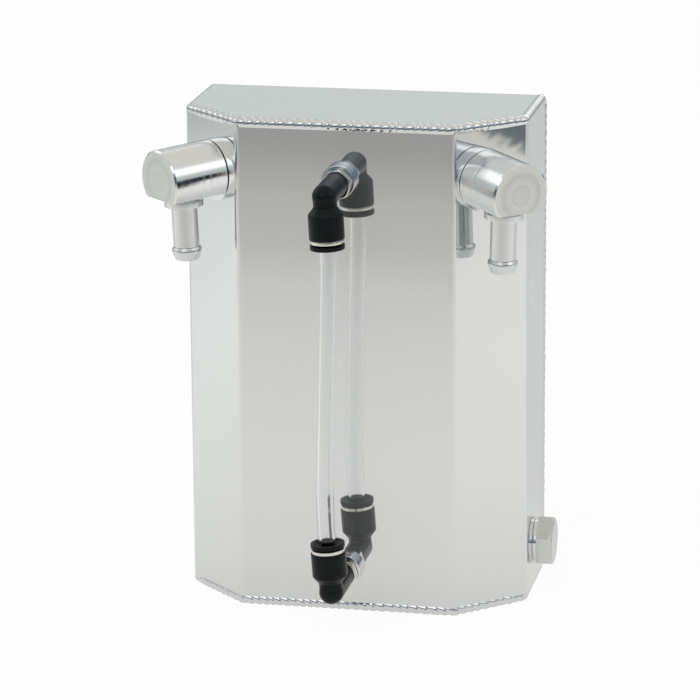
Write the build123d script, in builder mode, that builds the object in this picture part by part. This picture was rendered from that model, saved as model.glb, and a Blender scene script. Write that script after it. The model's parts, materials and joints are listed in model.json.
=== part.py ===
from build123d import *

import os
from math import acos, atan2, cos, pi, radians, sin, sqrt, tan

os.makedirs("parts", exist_ok=True)

# Welded aluminium oil catch can, in millimetres.
# The origin is the middle of the underside, +Z is up and the front faces -Y.

# Tank: two folded sheets that meet in open corner grooves, which the welds fill
tank_width = 152.0
tank_depth = 76.0
tank_height = 220.0
chamfer_front = 28.4  # cut from each front corner, along the front
chamfer_side = 26.2  # and along the side
sheet = 2.0
bend_radius = 4.5  # outside of the folds
weld_radius = 3.0  # crest of a ripple, round the inner corner of the groove
ripple_depth = 0.45  # valley between two ripples, below their crests
ripple_pitch = 3.7
ripple_turn = 22.5  # share of a fold that one ripple takes, in degrees
fit = 0.05  # radial room of a piece that is welded or pressed into a hole

# Baffle inside the tank, standing between the two ports
baffle_place = 18.0  # from the middle, clear of the gauge bosses
baffle_rise = 55.0  # open below this height, so that the oil levels out
baffle_corner = 6.0
baffle_hole_radius = 4.0
baffle_hole_pitch = 20.0
baffle_columns = 3
baffle_rows = 6

# Tapped mounting bosses in the back
mount_across = 100.0
mount_apart = 130.0
mount_rise = 45.0  # lower pair above the underside
mount_hole_radius = 3.0
mount_hole_depth = 11.0
mount_boss_radius = 7.0
mount_boss_length = 12.0
mount_spigot_radius = 5.5

# Hose ports on the chamfers
port_drop = 24.5  # axis below the top, at the chamfer
port_offset = 5.0  # towards the front, from the middle of the chamfer
port_droop = 3.0  # the axis falls outwards, in degrees
bung_flange_radius = 13.65
bung_flange = 3.25  # along the axis
bung_radius = 11.0
bung_reach = 10.0  # inwards from the outside of the sheet
bung_foot = 1.5  # of the flange, before it is cut to lie on the chamfer
spigot_radius = 8.0
swivel_room = 0.05  # running room of the spigot, the washer and the clip
joint_gap = 0.7  # between bung and head
thrust_washer_radius = 10.0
head_radius = 13.65
head_length = 26.65
head_edge = 0.7
head_flat_drop = 8.2  # milled flat below the axis
gallery_radius = 5.2  # bore along the head
gallery_past_barb = 5.5
o_ring_inset = 4.0  # groove from the outer end of the bung
o_ring_width = 1.8
o_ring_depth = 1.4
clip_thickness = 1.2
clip_depth = 1.0  # of the groove in the spigot
clip_width = 3.0
clip_land = 1.3  # spigot beyond the clip
clip_opening = 40.0

# Hose barb below each head
barb_set = 14.4  # from the inner end of the head
barb_shank_radius = 4.8
barb_shank = 2.6
barb_bore_radius = 3.9
barb_neck_radius = 6.9
barb_neck = 1.6  # between the flat and the collar
barb_collar_radius = 8.65
barb_collar = 2.9
barb_collar_edge = 0.5
barb_stem_radius = 5.7
barb_bead_radius = 6.5
barb_bead_drop = 32.0  # widest ring of the bead, below the head's axis
barb_bead_land = 1.2
barb_shoulder = 1.1
barb_tip_drop = 36.7
barb_tip_radius = 5.2

# Sight gauge on the front
gauge_top_drop = 25.2  # upper stem below the top
gauge_bottom_rise = 19.1  # lower stem above the underside
gauge_top_place = -1.9  # upper stem, from the middle of the front
gauge_bottom_place = -0.4
gauge_top_lean = 2.7  # the upper socket points a little to the right, in degrees
gauge_bottom_lean = 4.0  # and the lower one to the left
gauge_reach = 32.0  # tube in front of the front sheet
stem_hex = 12.0  # across flats
stem_hex_length = 5.0
stem_bevel = 0.5
stem_top_turn = -15.0  # how each hexagon came to rest when tightened, in degrees
stem_bottom_turn = 13.0
stem_relief_radius = 5.6
stem_relief = 0.6  # groove between hexagon and boss
stem_tail_radius = 3.9
stem_tail = 12.0
stem_thread_radius = 4.85
stem_thread = 9.0
stem_bore_radius = 2.5
gauge_boss_radius = 7.4
gauge_boss_rise = 4.9  # in front of the sheet
gauge_boss_depth = 3.0  # behind it
gauge_spigot_radius = 6.7
barrel_radius = 5.4
neck_radius = 5.15
neck_length = 4.5
shoulder = 3.2
socket_radius = 7.65
socket_length = 10.6
socket_edge = 0.4
socket_wall = 1.7
tube_stop = 7.6  # end of the tube, from the stem's axis
pocket_start = 9.4
tube_seal_length = 2.2
grip_start = 12.2
grip_thickness = 0.5
ring_height = 1.6
ring_inset = 0.45
ring_sleeve = 4.2
ring_wall = 0.5
collar_travel = 0.6
collar_clearance = 0.1
collar_flange_radius = 7.5
collar_flange = 2.0
collar_sleeve = 5.0
collar_dish = 0.9
collar_edge = 0.5
tube_radius = 4.0
tube_wall = 1.25
tube_room = 0.1  # between the tube and the pieces around it
bow_start = 39.0  # corner of the tube's bow, from the lower stem
bow_end = 30.0  # second corner, from the upper stem
bow_tangent_low = 15.0
bow_tangent_high = 7.0

# Drain on the right side
drain_rise = 20.5
drain_place = 13.0  # behind the middle of the tank
drain_boss_radius = 12.0
drain_boss_depth = 9.0
drain_thread_radius = 7.0
drain_thread_room = 0.08
drain_hole_room = 0.3
drain_hex = 21.0  # across flats
drain_turn = -19.0  # how the hexagon came to rest when tightened, in degrees
drain_head = 7.0
drain_bevel = 1.3
drain_washer_radius = 9.6
drain_washer_thickness = 1.8

# Places that follow from the sizes above
side_face = tank_width / 2
front_face = -tank_depth / 2
back_face = tank_depth / 2
groove_rear = back_face - sheet
inner_bend = bend_radius - sheet
side_turn = atan2(chamfer_front, chamfer_side)  # fold between a side and its chamfer
head_start = bung_flange + joint_gap
barb_place = head_start + barb_set
spigot_end = -(bung_reach + swivel_room + clip_thickness + clip_land)
socket_end = neck_length + shoulder + socket_length
pocket_radius = socket_radius - socket_wall
collar_seat = socket_end + ring_height
collar_start = collar_seat + collar_clearance + collar_travel
collar_end = collar_start + collar_flange
collar_bore = tube_radius + tube_room
ring_bore = pocket_radius - fit - ring_wall
hex_start = gauge_reach - gauge_boss_rise - stem_relief - stem_hex_length  # end of the elbow's barrel
hex_end = hex_start + stem_hex_length


def save(piece, name):
    piece.part.label = name
    export_step(piece.part, f"parts/{name}.step")


def wall_points(inset, rear):
    """Corners of the tank's plan from rear left to rear right, moved inwards by inset."""
    side = side_face - inset
    front = front_face + inset
    side_end = front_face + chamfer_side + inset * tan(side_turn / 2)
    front_end = side_face - chamfer_front - inset * tan((pi / 2 - side_turn) / 2)
    left = [(-side, rear), (-side, side_end), (-front_end, front)]
    return left + [(-x, y) for x, y in reversed(left)]


def chamfer_plane(is_right):
    """Outside of a chamfer at its port: local z points out of the tank and local y up."""
    side = 1 if is_right else -1
    outwards = Vector(side * chamfer_side, -chamfer_front, 0).normalized()
    forwards = Vector(-side * chamfer_front, -chamfer_side, 0).normalized()
    corner = Vector(side * side_face, front_face, tank_height - port_drop)
    middle = corner + Vector(-side * chamfer_front, chamfer_side, 0) / 2
    level = Vector(0, 0, 1).cross(outwards)
    return Plane(origin=middle + forwards * port_offset, x_dir=level, z_dir=outwards)


def port_plane(chamfer):
    """Plane of a port: the chamfer's, tilted about its level axis so that local z falls outwards."""
    falling = chamfer.z_dir.rotate(Axis(chamfer.origin, chamfer.x_dir), port_droop)
    return Plane(origin=chamfer.origin, x_dir=chamfer.x_dir, z_dir=falling)


def turning_plane(origin, along, across):
    """Plane for a turned profile: local x runs along the axis and local y is the radius."""
    return Plane(origin=origin, x_dir=along, z_dir=Vector(along).cross(Vector(across)))


def elbow_frame(is_upper):
    """Where an elbow's socket meets its stem, and the direction in which the socket points."""
    if is_upper:
        lean = radians(gauge_top_lean)
        middle = Vector(gauge_top_place, front_face - gauge_reach, tank_height - gauge_top_drop)
        return middle, Vector(sin(lean), 0, -cos(lean))
    lean = radians(gauge_bottom_lean)
    middle = Vector(gauge_bottom_place, front_face - gauge_reach, gauge_bottom_rise)
    return middle, Vector(-sin(lean), 0, cos(lean))


drain_middle = Vector(side_face, drain_place, drain_rise)
drain_plane = Plane(origin=drain_middle, x_dir=(0, 1, 0), z_dir=(1, 0, 0))
chamfers = {"left": chamfer_plane(False), "right": chamfer_plane(True)}
ports = {name: port_plane(plane) for name, plane in chamfers.items()}
elbows = {"upper": elbow_frame(True), "lower": elbow_frame(False)}
stem_turns = {"upper": stem_top_turn, "lower": stem_bottom_turn}
mount_middle = (0, back_face, mount_rise + mount_apart / 2)
back_plane = Plane(origin=mount_middle, x_dir=(1, 0, 0), z_dir=(0, -1, 0))

# Front sheet: both sides, both chamfers and the front, folded from one strip
with BuildPart() as wrap_panel:
    with BuildSketch(Plane.XY.offset(sheet)):
        with BuildLine():
            outside = FilletPolyline(*wall_points(0, groove_rear), radius=bend_radius)
            inside = FilletPolyline(*wall_points(sheet, groove_rear), radius=inner_bend)
            Line(outside @ 0, inside @ 0)
            Line(outside @ 1, inside @ 1)
        make_face()
    extrude(amount=tank_height - 2 * sheet)
    rear_corners = wrap_panel.edges().filter_by(Axis.X).group_by(Axis.Y)[-1]
    fillet(rear_corners, inner_bend)
    for plane in ports.values():
        with BuildSketch(plane):
            Circle(bung_radius + fit)
        extrude(amount=2 * sheet, both=True, mode=Mode.SUBTRACT)
    for middle, along in elbows.values():
        with BuildSketch(Plane(origin=(middle.X, front_face, middle.Z), z_dir=(0, 1, 0))):
            Circle(gauge_spigot_radius + fit)
        extrude(amount=2 * sheet, mode=Mode.SUBTRACT)
    with BuildSketch(drain_plane):
        Circle(drain_thread_radius + drain_hole_room)
    extrude(amount=-2 * sheet, mode=Mode.SUBTRACT)
save(wrap_panel, "wrap_panel")

# Rear sheet: top, back and bottom, folded from one strip
with BuildPart() as back_channel:
    with BuildSketch(Plane.YZ.offset(sheet - side_face)):
        with BuildLine():
            front_edge = front_face + sheet
            outside = FilletPolyline(
                (front_edge, 0), (back_face, 0), (back_face, tank_height), (front_edge, tank_height),
                radius=bend_radius,
            )
            inside = FilletPolyline(
                (front_edge, sheet), (groove_rear, sheet),
                (groove_rear, tank_height - sheet), (front_edge, tank_height - sheet),
                radius=inner_bend,
            )
            Line(outside @ 0, inside @ 0)
            Line(outside @ 1, inside @ 1)
        make_face()
    extrude(amount=tank_width - 2 * sheet)
    with BuildSketch():
        with BuildLine():
            plan = FilletPolyline(*wall_points(sheet, back_face), radius=inner_bend)
            Line(plan @ 0, plan @ 1)
        make_face()
    extrude(amount=tank_height, mode=Mode.INTERSECT)
    with BuildSketch(back_plane):
        with GridLocations(mount_across, mount_apart, 2, 2):
            Circle(mount_spigot_radius + fit)
    extrude(amount=2 * sheet, mode=Mode.SUBTRACT)
save(back_channel, "back_channel")


# Weld beads: each fills a groove from toe to toe, with a ripple for every dip of the filler rod
bead_facets = 5  # across the crown
back_plane_inwards = Plane(origin=(0, back_face, 0), z_dir=(0, -1, 0))
seam_rear = groove_rear - inner_bend
seam_top = tank_height - sheet


def bead_section(point, heading, radius):
    """Bead round the groove's inner corner, with x out of the front sheet and y out of the rear one."""
    fold_height = min(max(point.Z, bend_radius), tank_height - bend_radius)
    upwards = (point - Vector(point.X, min(point.Y, seam_rear), fold_height)).normalized()
    outwards = heading.cross(upwards)
    if outwards.dot(Vector(point.X, point.Y, 0)) < 0:
        outwards = -outwards
    toe = acos((sheet + fit) / radius)
    angles = [-toe + (pi / 2 + 2 * toe) * facet / bead_facets for facet in range(bead_facets + 1)]
    crown = [(radius * cos(angle), radius * sin(angle)) for angle in angles]
    with BuildSketch(Plane(origin=point, x_dir=outwards, z_dir=outwards.cross(upwards))) as section:
        with BuildLine():
            Polyline(*crown, (fit, sheet + fit), (fit, fit), (sheet + fit, fit), close=True)
        make_face()
    return section.sketch


def bead_sections(seam):
    """Valleys and crests along a seam, a whole number of ripples on each straight or folded run."""
    sections = []
    start = 0
    for run in seam.order_edges():
        turn = (run % 0).get_angle(run % 1)
        ripples = max(1, round(run.length / ripple_pitch), round(turn / ripple_turn))
        for step in range(2 * ripples):
            radius = weld_radius if step % 2 else weld_radius - ripple_depth
            place = start + run.length * step / (2 * ripples)
            point = seam.position_at(place, position_mode=PositionMode.LENGTH)
            heading = seam.tangent_at(place, position_mode=PositionMode.LENGTH)
            sections.append(bead_section(point, heading, radius))
        start += run.length
    sections.append(bead_section(seam @ 1, seam % 1, weld_radius - ripple_depth))
    return sections


# Top weld: round the rear corner, along a side, a chamfer, the front and back the other way
with BuildPart() as top_weld:
    with BuildLine() as top_seam:
        flat_run = FilletPolyline(
            *[(x, y, seam_top) for x, y in wall_points(sheet, seam_rear)], radius=inner_bend
        )
        for end in (flat_run @ 0, flat_run @ 1):
            turned = inner_bend * sqrt(0.5)
            ThreePointArc(
                end,
                end + Vector(0, turned, turned - inner_bend),
                end + Vector(0, inner_bend, -inner_bend),
            )
    loft(sections=bead_sections(top_seam.wire()), ruled=True)
    split(bisect_by=back_plane_inwards, keep=Keep.TOP)
save(top_weld, "top_weld")

# Bottom weld: the same run, dressed flush below so that the can stands flat
with BuildPart() as bottom_weld:
    mirror(top_weld.part, about=Plane.XY.offset(tank_height / 2))
    split(bisect_by=Plane.XY, keep=Keep.TOP)
save(bottom_weld, "bottom_weld")

# Rear welds, up the back edge of each side, dressed flush with the back
for name, side in (("left", -1), ("right", 1)):
    with BuildPart() as rear_weld:
        with BuildLine() as rear_seam:
            corner = (side * (side_face - sheet), groove_rear)
            Line((*corner, bend_radius), (*corner, tank_height - bend_radius))
        loft(sections=bead_sections(rear_seam.wire()), ruled=True)
        split(bisect_by=back_plane_inwards, keep=Keep.TOP)
    save(rear_weld, f"rear_weld_{name}")

# Baffle: drilled plate across the tank, welded to the front, the top and the back
with BuildPart() as baffle_plate:
    with BuildSketch(Plane.YZ.offset(baffle_place)) as baffle_outline:
        baffle_top = tank_height - sheet
        with Locations((0, (baffle_rise + baffle_top) / 2)):
            Rectangle(tank_depth - 2 * sheet, baffle_top - baffle_rise)
        fillet(baffle_outline.vertices(), baffle_corner)
        with Locations((0, (baffle_rise + baffle_top) / 2)):
            with GridLocations(baffle_hole_pitch, baffle_hole_pitch, baffle_columns, baffle_rows):
                Circle(baffle_hole_radius, mode=Mode.SUBTRACT)
    extrude(amount=sheet)
save(baffle_plate, "baffle_plate")

# Mounting bosses: spigots in the back sheet, tapped and blind
with BuildPart() as mounting_bosses:
    with BuildSketch(back_plane):
        with GridLocations(mount_across, mount_apart, 2, 2):
            Circle(mount_spigot_radius)
    extrude(amount=sheet)
    with BuildSketch(back_plane.offset(sheet)):
        with GridLocations(mount_across, mount_apart, 2, 2):
            Circle(mount_boss_radius)
    extrude(amount=mount_boss_length)
    with BuildSketch(back_plane):
        with GridLocations(mount_across, mount_apart, 2, 2):
            Circle(mount_hole_radius)
    extrude(amount=mount_hole_depth, mode=Mode.SUBTRACT)
save(mounting_bosses, "mounting_bosses")

# Hose ports
for name, plane in ports.items():
    up = plane.y_dir
    turning = turning_plane(plane.origin, plane.z_dir, up)
    port_axis = Axis(plane.origin, plane.z_dir)

    # Bush with a flange cut to lie on the chamfer, and a long bore for the spigot
    with BuildPart() as port_bung:
        with BuildSketch(plane.offset(-bung_foot)):
            Circle(bung_flange_radius)
        extrude(amount=bung_foot + bung_flange)
        split(bisect_by=chamfers[name], keep=Keep.TOP)
        with BuildSketch(plane.offset(-bung_reach)):
            Circle(bung_radius)
        extrude(amount=bung_reach + bung_flange)
        with BuildSketch(plane.offset(-bung_reach)):
            Circle(spigot_radius + swivel_room)
        extrude(amount=bung_reach + bung_flange, mode=Mode.SUBTRACT)
    save(port_bung, f"port_bung_{name}")

    # Closed head and its spigot, bored for the gas, with a flat below for the barb
    o_ring_start = bung_flange - o_ring_inset - o_ring_width
    clip_start = -(bung_reach + swivel_room + clip_thickness)
    groove_room = swivel_room / 2
    with BuildPart() as swivel_head:
        with BuildSketch(turning):
            with BuildLine():
                Polyline(
                    (spigot_end, gallery_radius),
                    (spigot_end, spigot_radius),
                    (clip_start - groove_room, spigot_radius),
                    (clip_start - groove_room, spigot_radius - clip_depth),
                    (clip_start + clip_thickness + groove_room, spigot_radius - clip_depth),
                    (clip_start + clip_thickness + groove_room, spigot_radius),
                    (o_ring_start, spigot_radius),
                    (o_ring_start, spigot_radius - o_ring_depth),
                    (o_ring_start + o_ring_width, spigot_radius - o_ring_depth),
                    (o_ring_start + o_ring_width, spigot_radius),
                    (head_start, spigot_radius),
                    (head_start, head_radius - head_edge / 2),
                    (head_start + head_edge / 2, head_radius),
                    (head_start + head_length - head_edge, head_radius),
                    (head_start + head_length, head_radius - head_edge),
                    (head_start + head_length, 0),
                    (barb_place + gallery_past_barb, 0),
                    (barb_place + gallery_past_barb, gallery_radius),
                    close=True,
                )
            make_face()
        revolve(axis=port_axis)
        with BuildSketch(turning):
            with Locations((head_start, -head_flat_drop)):
                Rectangle(head_length, head_radius, align=(Align.MIN, Align.MAX))
        extrude(amount=head_radius, both=True, mode=Mode.SUBTRACT)
        barb_middle = plane.origin + plane.z_dir * barb_place
        with BuildSketch(Plane(origin=barb_middle - up * head_radius, z_dir=up)):
            Circle(barb_shank_radius + fit)
        extrude(amount=head_radius, mode=Mode.SUBTRACT)
    save(swivel_head, f"swivel_head_{name}")

    # Barb: neck on the flat, collar, plain stem, bead and tapered tip
    barb_turning = turning_plane(barb_middle, -up, plane.z_dir)
    with BuildPart() as hose_barb:
        with BuildSketch(barb_turning):
            collar_high = head_flat_drop + barb_neck
            collar_low = collar_high + barb_collar
            with BuildLine():
                Polyline(
                    (head_flat_drop - barb_shank, barb_bore_radius),
                    (head_flat_drop - barb_shank, barb_shank_radius),
                    (head_flat_drop, barb_shank_radius),
                    (head_flat_drop, barb_neck_radius),
                    (collar_high, barb_neck_radius),
                    (collar_high, barb_collar_radius - barb_collar_edge),
                    (collar_high + barb_collar_edge, barb_collar_radius),
                    (collar_low - barb_collar_edge, barb_collar_radius),
                    (collar_low, barb_collar_radius - barb_collar_edge),
                    (collar_low, barb_stem_radius),
                    (barb_bead_drop - barb_shoulder, barb_stem_radius),
                    (barb_bead_drop, barb_bead_radius),
                    (barb_bead_drop + barb_bead_land, barb_bead_radius),
                    (barb_tip_drop, barb_tip_radius),
                    (barb_tip_drop, barb_bore_radius),
                    close=True,
                )
            make_face()
        revolve(axis=Axis(barb_middle, -up))
    save(hose_barb, f"hose_barb_{name}")

    # Thrust washer deep in the joint
    with BuildPart() as thrust_washer:
        with BuildSketch(plane.offset(bung_flange)):
            Circle(thrust_washer_radius)
            Circle(spigot_radius + swivel_room, mode=Mode.SUBTRACT)
        extrude(amount=joint_gap - swivel_room)
    save(thrust_washer, f"thrust_washer_{name}")

    # Seal in the spigot's groove
    with BuildPart() as spigot_o_ring:
        with BuildSketch(plane.offset(o_ring_start)):
            Circle(spigot_radius)
            Circle(spigot_radius - o_ring_depth, mode=Mode.SUBTRACT)
        extrude(amount=o_ring_width)
    save(spigot_o_ring, f"spigot_o_ring_{name}")

    # Open spring ring behind the bung
    with BuildPart() as retaining_clip:
        with BuildSketch(turning):
            clip_inner = spigot_radius - clip_depth + groove_room
            with Locations((clip_start, clip_inner)):
                Rectangle(clip_thickness, clip_width, align=(Align.MIN, Align.MIN))
        revolve(axis=port_axis, revolution_arc=360 - clip_opening)
    save(retaining_clip, f"retaining_clip_{name}")

# Sight gauge fittings
for name, (middle, along) in elbows.items():
    stem_plane = Plane(origin=middle, x_dir=(1, 0, 0), z_dir=(0, 1, 0))
    socket_turning = turning_plane(middle, along, Vector(0, 1, 0))
    socket_axis = Axis(middle, along)

    # Tapped boss on the front sheet, with a spigot through it
    boss_start = gauge_reach - gauge_boss_rise
    with BuildPart() as gauge_boss:
        with BuildSketch(stem_plane.offset(boss_start)):
            Circle(gauge_boss_radius)
        extrude(amount=gauge_boss_rise)
        with BuildSketch(stem_plane.offset(gauge_reach)):
            Circle(gauge_spigot_radius)
        extrude(amount=sheet + gauge_boss_depth)
        with BuildSketch(stem_plane.offset(boss_start)):
            Circle(stem_thread_radius + fit)
        extrude(amount=gauge_boss_rise + sheet + gauge_boss_depth, mode=Mode.SUBTRACT)
    save(gauge_boss, f"gauge_boss_{name}")

    # Stem: bevelled hexagon, tail in the barrel, relief and thread in the boss
    stem_corner = stem_hex / sqrt(3)
    with BuildPart() as elbow_stem:
        with BuildSketch(stem_plane.offset(hex_start)):
            RegularPolygon(stem_corner, 6, rotation=stem_turns[name])
        extrude(amount=stem_hex_length)
        with BuildSketch(turning_plane(middle, Vector(0, 1, 0), Vector(1, 0, 0))):
            with BuildLine():
                Polyline(
                    (hex_start, 0),
                    (hex_start, stem_corner - 2 * stem_bevel),
                    (hex_start + stem_bevel, stem_corner),
                    (hex_end - stem_bevel, stem_corner),
                    (hex_end, stem_corner - 2 * stem_bevel),
                    (hex_end, 0),
                    close=True,
                )
            make_face()
        revolve(axis=Axis(middle, (0, 1, 0)), mode=Mode.INTERSECT)
        with BuildSketch(stem_plane.offset(hex_start - stem_tail)):
            Circle(stem_tail_radius)
        extrude(amount=stem_tail)
        with BuildSketch(stem_plane.offset(hex_end)):
            Circle(stem_relief_radius)
        extrude(amount=stem_relief)
        with BuildSketch(stem_plane.offset(boss_start)):
            Circle(stem_thread_radius)
        extrude(amount=stem_thread)
        with BuildSketch(stem_plane.offset(hex_start - stem_tail)):
            Circle(stem_bore_radius)
        extrude(amount=gauge_reach + stem_thread, mode=Mode.SUBTRACT)
    save(elbow_stem, f"elbow_stem_{name}")

    # Moulded elbow: barrel on the stem, neck, shoulder and socket
    with BuildPart() as elbow_body:
        with BuildSketch(socket_turning):
            with BuildLine():
                Polyline(
                    (0, 0),
                    (0, neck_radius),
                    (neck_length, neck_radius),
                    (neck_length + shoulder, socket_radius),
                    (socket_end - socket_edge, socket_radius),
                    (socket_end, socket_radius - socket_edge),
                    (socket_end, 0),
                    close=True,
                )
            make_face()
        revolve(axis=socket_axis)
        with BuildSketch(stem_plane):
            Circle(barrel_radius)
        extrude(amount=hex_start)
        with Locations(middle):
            Sphere(barrel_radius)
        with BuildSketch(socket_turning):
            with BuildLine():
                Polyline(
                    (0, 0),
                    (0, stem_bore_radius),
                    (tube_stop, stem_bore_radius),
                    (tube_stop, collar_bore),
                    (pocket_start, collar_bore),
                    (pocket_start, pocket_radius),
                    (socket_end, pocket_radius),
                    (socket_end, 0),
                    close=True,
                )
            make_face()
        revolve(axis=socket_axis, mode=Mode.SUBTRACT)
        with BuildSketch(stem_plane):
            Circle(stem_bore_radius)
        extrude(amount=hex_start, mode=Mode.SUBTRACT)
        with BuildSketch(stem_plane.offset(hex_start - stem_tail)):
            Circle(stem_tail_radius + fit)
        extrude(amount=stem_tail, mode=Mode.SUBTRACT)
    save(elbow_body, f"elbow_body_{name}")

    # Seal round the tube, at the bottom of the pocket
    with BuildPart() as tube_seal:
        with BuildSketch(socket_turning):
            with Locations((pocket_start, tube_radius + fit)):
                seal_width = pocket_radius - tube_radius - 2 * fit
                Rectangle(tube_seal_length, seal_width, align=(Align.MIN, Align.MIN))
        revolve(axis=socket_axis)
    save(tube_seal, f"tube_seal_{name}")

    # Spring ring that bites on the tube, held behind the sleeve of the plated ring
    with BuildPart() as grip_ring:
        with BuildSketch(socket_turning):
            with Locations((grip_start, tube_radius + fit)):
                Rectangle(grip_thickness, seal_width, align=(Align.MIN, Align.MIN))
        revolve(axis=socket_axis)
    save(grip_ring, f"grip_ring_{name}")

    # Plated ring on the mouth of the socket, its sleeve pressed into the pocket
    with BuildPart() as elbow_ring:
        with BuildSketch(socket_turning):
            with BuildLine():
                Polyline(
                    (socket_end - ring_sleeve, ring_bore),
                    (socket_end - ring_sleeve, pocket_radius - fit),
                    (socket_end, pocket_radius - fit),
                    (socket_end, socket_radius - ring_inset),
                    (collar_seat, socket_radius - ring_inset),
                    (collar_seat, ring_bore),
                    close=True,
                )
            make_face()
        revolve(axis=socket_axis)
    save(elbow_ring, f"elbow_ring_{name}")

    # Release collar: flange outside, sleeve inside the plated ring
    with BuildPart() as release_collar:
        with BuildSketch(socket_turning):
            with BuildLine():
                Polyline(
                    (collar_start - collar_sleeve, collar_bore),
                    (collar_start - collar_sleeve, ring_bore - tube_room),
                    (collar_start, ring_bore - tube_room),
                    (collar_start, collar_flange_radius - collar_edge),
                    (collar_start + collar_edge, collar_flange_radius),
                    (collar_end - collar_edge, collar_flange_radius),
                    (collar_end, collar_flange_radius - collar_edge),
                    (collar_end, collar_bore + collar_dish),
                    (collar_end - collar_dish, collar_bore),
                    close=True,
                )
            make_face()
        revolve(axis=socket_axis)
    save(release_collar, f"release_collar_{name}")

# Clear tube: straight in both sockets, which point a little aside, and bowed between them
low_middle, low_along = elbows["lower"]
high_middle, high_along = elbows["upper"]
tube_corners = [
    low_middle + low_along * tube_stop,
    low_middle + low_along * bow_start,
    high_middle + high_along * bow_end,
    high_middle + high_along * tube_stop,
]
tube_runs = [end - begin for begin, end in zip(tube_corners, tube_corners[1:])]
tube_turns = [before.get_angle(after) for before, after in zip(tube_runs, tube_runs[1:])]
tube_radii = [
    reach / tan(radians(turn) / 2) for reach, turn in zip((bow_tangent_low, bow_tangent_high), tube_turns)
]
with BuildPart() as sight_tube:
    with BuildLine() as tube_route:
        FilletPolyline(*tube_corners, radius=tube_radii)
    with BuildSketch(Plane(origin=tube_corners[0], z_dir=low_along)):
        Circle(tube_radius)
        Circle(tube_radius - tube_wall, mode=Mode.SUBTRACT)
    sweep(path=tube_route.wire())
save(sight_tube, "sight_tube")

# Drain boss behind the right side
with BuildPart() as drain_boss:
    with BuildSketch(drain_plane.offset(-sheet)):
        Circle(drain_boss_radius)
        Circle(drain_thread_radius + drain_thread_room, mode=Mode.SUBTRACT)
    extrude(amount=-drain_boss_depth)
save(drain_boss, "drain_boss")

# Sealing washer under the plug's head
with BuildPart() as drain_washer:
    with BuildSketch(drain_plane):
        Circle(drain_washer_radius)
        Circle(drain_thread_radius + drain_hole_room, mode=Mode.SUBTRACT)
    extrude(amount=drain_washer_thickness)
save(drain_washer, "drain_washer")

# Plug: bevelled hexagon and a thread as long as the boss
drain_turning = turning_plane(drain_middle, Vector(1, 0, 0), Vector(0, 0, 1))
hex_corner_radius = drain_hex / sqrt(3)
head_from = drain_washer_thickness
head_to = drain_washer_thickness + drain_head
with BuildPart() as drain_plug:
    with BuildSketch(drain_plane.offset(drain_washer_thickness)):
        RegularPolygon(hex_corner_radius, 6, rotation=drain_turn)
    extrude(amount=drain_head)
    with BuildSketch(drain_turning):
        with BuildLine():
            Polyline(
                (head_from, 0),
                (head_from, hex_corner_radius),
                (head_to - drain_bevel, hex_corner_radius),
                (head_to, hex_corner_radius - 2 * drain_bevel),
                (head_to, 0),
                close=True,
            )
        make_face()
    revolve(axis=Axis(drain_middle, (1, 0, 0)), mode=Mode.INTERSECT)
    with BuildSketch(drain_plane.offset(drain_washer_thickness)):
        Circle(drain_thread_radius)
    extrude(amount=-(drain_washer_thickness + sheet + drain_boss_depth))
save(drain_plug, "drain_plug")
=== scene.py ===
import json
import random
from bisect import bisect_right
from math import acos, atan2, ceil, cos, pi, radians, sin, tan

import bmesh
import bpy
from mathutils import Matrix, Vector

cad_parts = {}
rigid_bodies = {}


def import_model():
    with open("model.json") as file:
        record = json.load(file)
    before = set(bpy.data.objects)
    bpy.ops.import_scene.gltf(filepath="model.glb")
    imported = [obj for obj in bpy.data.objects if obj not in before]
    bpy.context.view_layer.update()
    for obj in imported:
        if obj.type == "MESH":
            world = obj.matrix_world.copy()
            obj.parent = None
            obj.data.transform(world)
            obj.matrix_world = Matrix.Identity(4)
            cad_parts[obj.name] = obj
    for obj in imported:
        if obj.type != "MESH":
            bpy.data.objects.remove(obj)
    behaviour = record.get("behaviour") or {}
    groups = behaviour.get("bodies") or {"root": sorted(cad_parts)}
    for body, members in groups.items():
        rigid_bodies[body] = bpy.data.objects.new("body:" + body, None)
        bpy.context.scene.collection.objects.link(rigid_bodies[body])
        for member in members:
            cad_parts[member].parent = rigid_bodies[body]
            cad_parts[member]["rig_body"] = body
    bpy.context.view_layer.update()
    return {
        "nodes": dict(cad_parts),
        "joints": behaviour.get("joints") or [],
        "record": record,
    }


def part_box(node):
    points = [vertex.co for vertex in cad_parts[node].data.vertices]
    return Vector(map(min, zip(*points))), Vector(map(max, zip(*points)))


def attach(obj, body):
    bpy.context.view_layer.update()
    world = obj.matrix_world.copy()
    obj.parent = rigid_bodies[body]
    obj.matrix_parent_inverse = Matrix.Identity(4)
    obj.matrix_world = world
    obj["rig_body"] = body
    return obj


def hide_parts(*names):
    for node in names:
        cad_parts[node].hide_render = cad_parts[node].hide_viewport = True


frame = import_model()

bl_info = {
    "name": "Oil catch can",
    "version": (1, 0, 0),
    "blender": (4, 5, 0),
    "location": "View3D > Sidebar > Catch can",
    "description": "Dresses a welded oil catch can and sets its studio",
    "category": "Object",
}

MM = 0.001
JOINTS = {joint["name"]: joint for joint in frame["joints"]}
SLOTS = {row["node"]: row["material_slot"] for row in frame["record"]["subparts"]}
MOUNTS = {mount["name"]: mount for mount in frame["record"]["mounts"]}

# Places that the frame gives
PANEL_LOW, PANEL_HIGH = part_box("wrap_panel")
CHANNEL_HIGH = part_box("back_channel")[1]
SIDE = PANEL_HIGH.x
FRONT = PANEL_LOW.y
BACK = CHANNEL_HIGH.y
TOP = CHANNEL_HIGH.z
SHEET = PANEL_LOW.z
UP = Vector((0, 0, 1))

# Points this near to each other are one
NEAR = 1e-7

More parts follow.
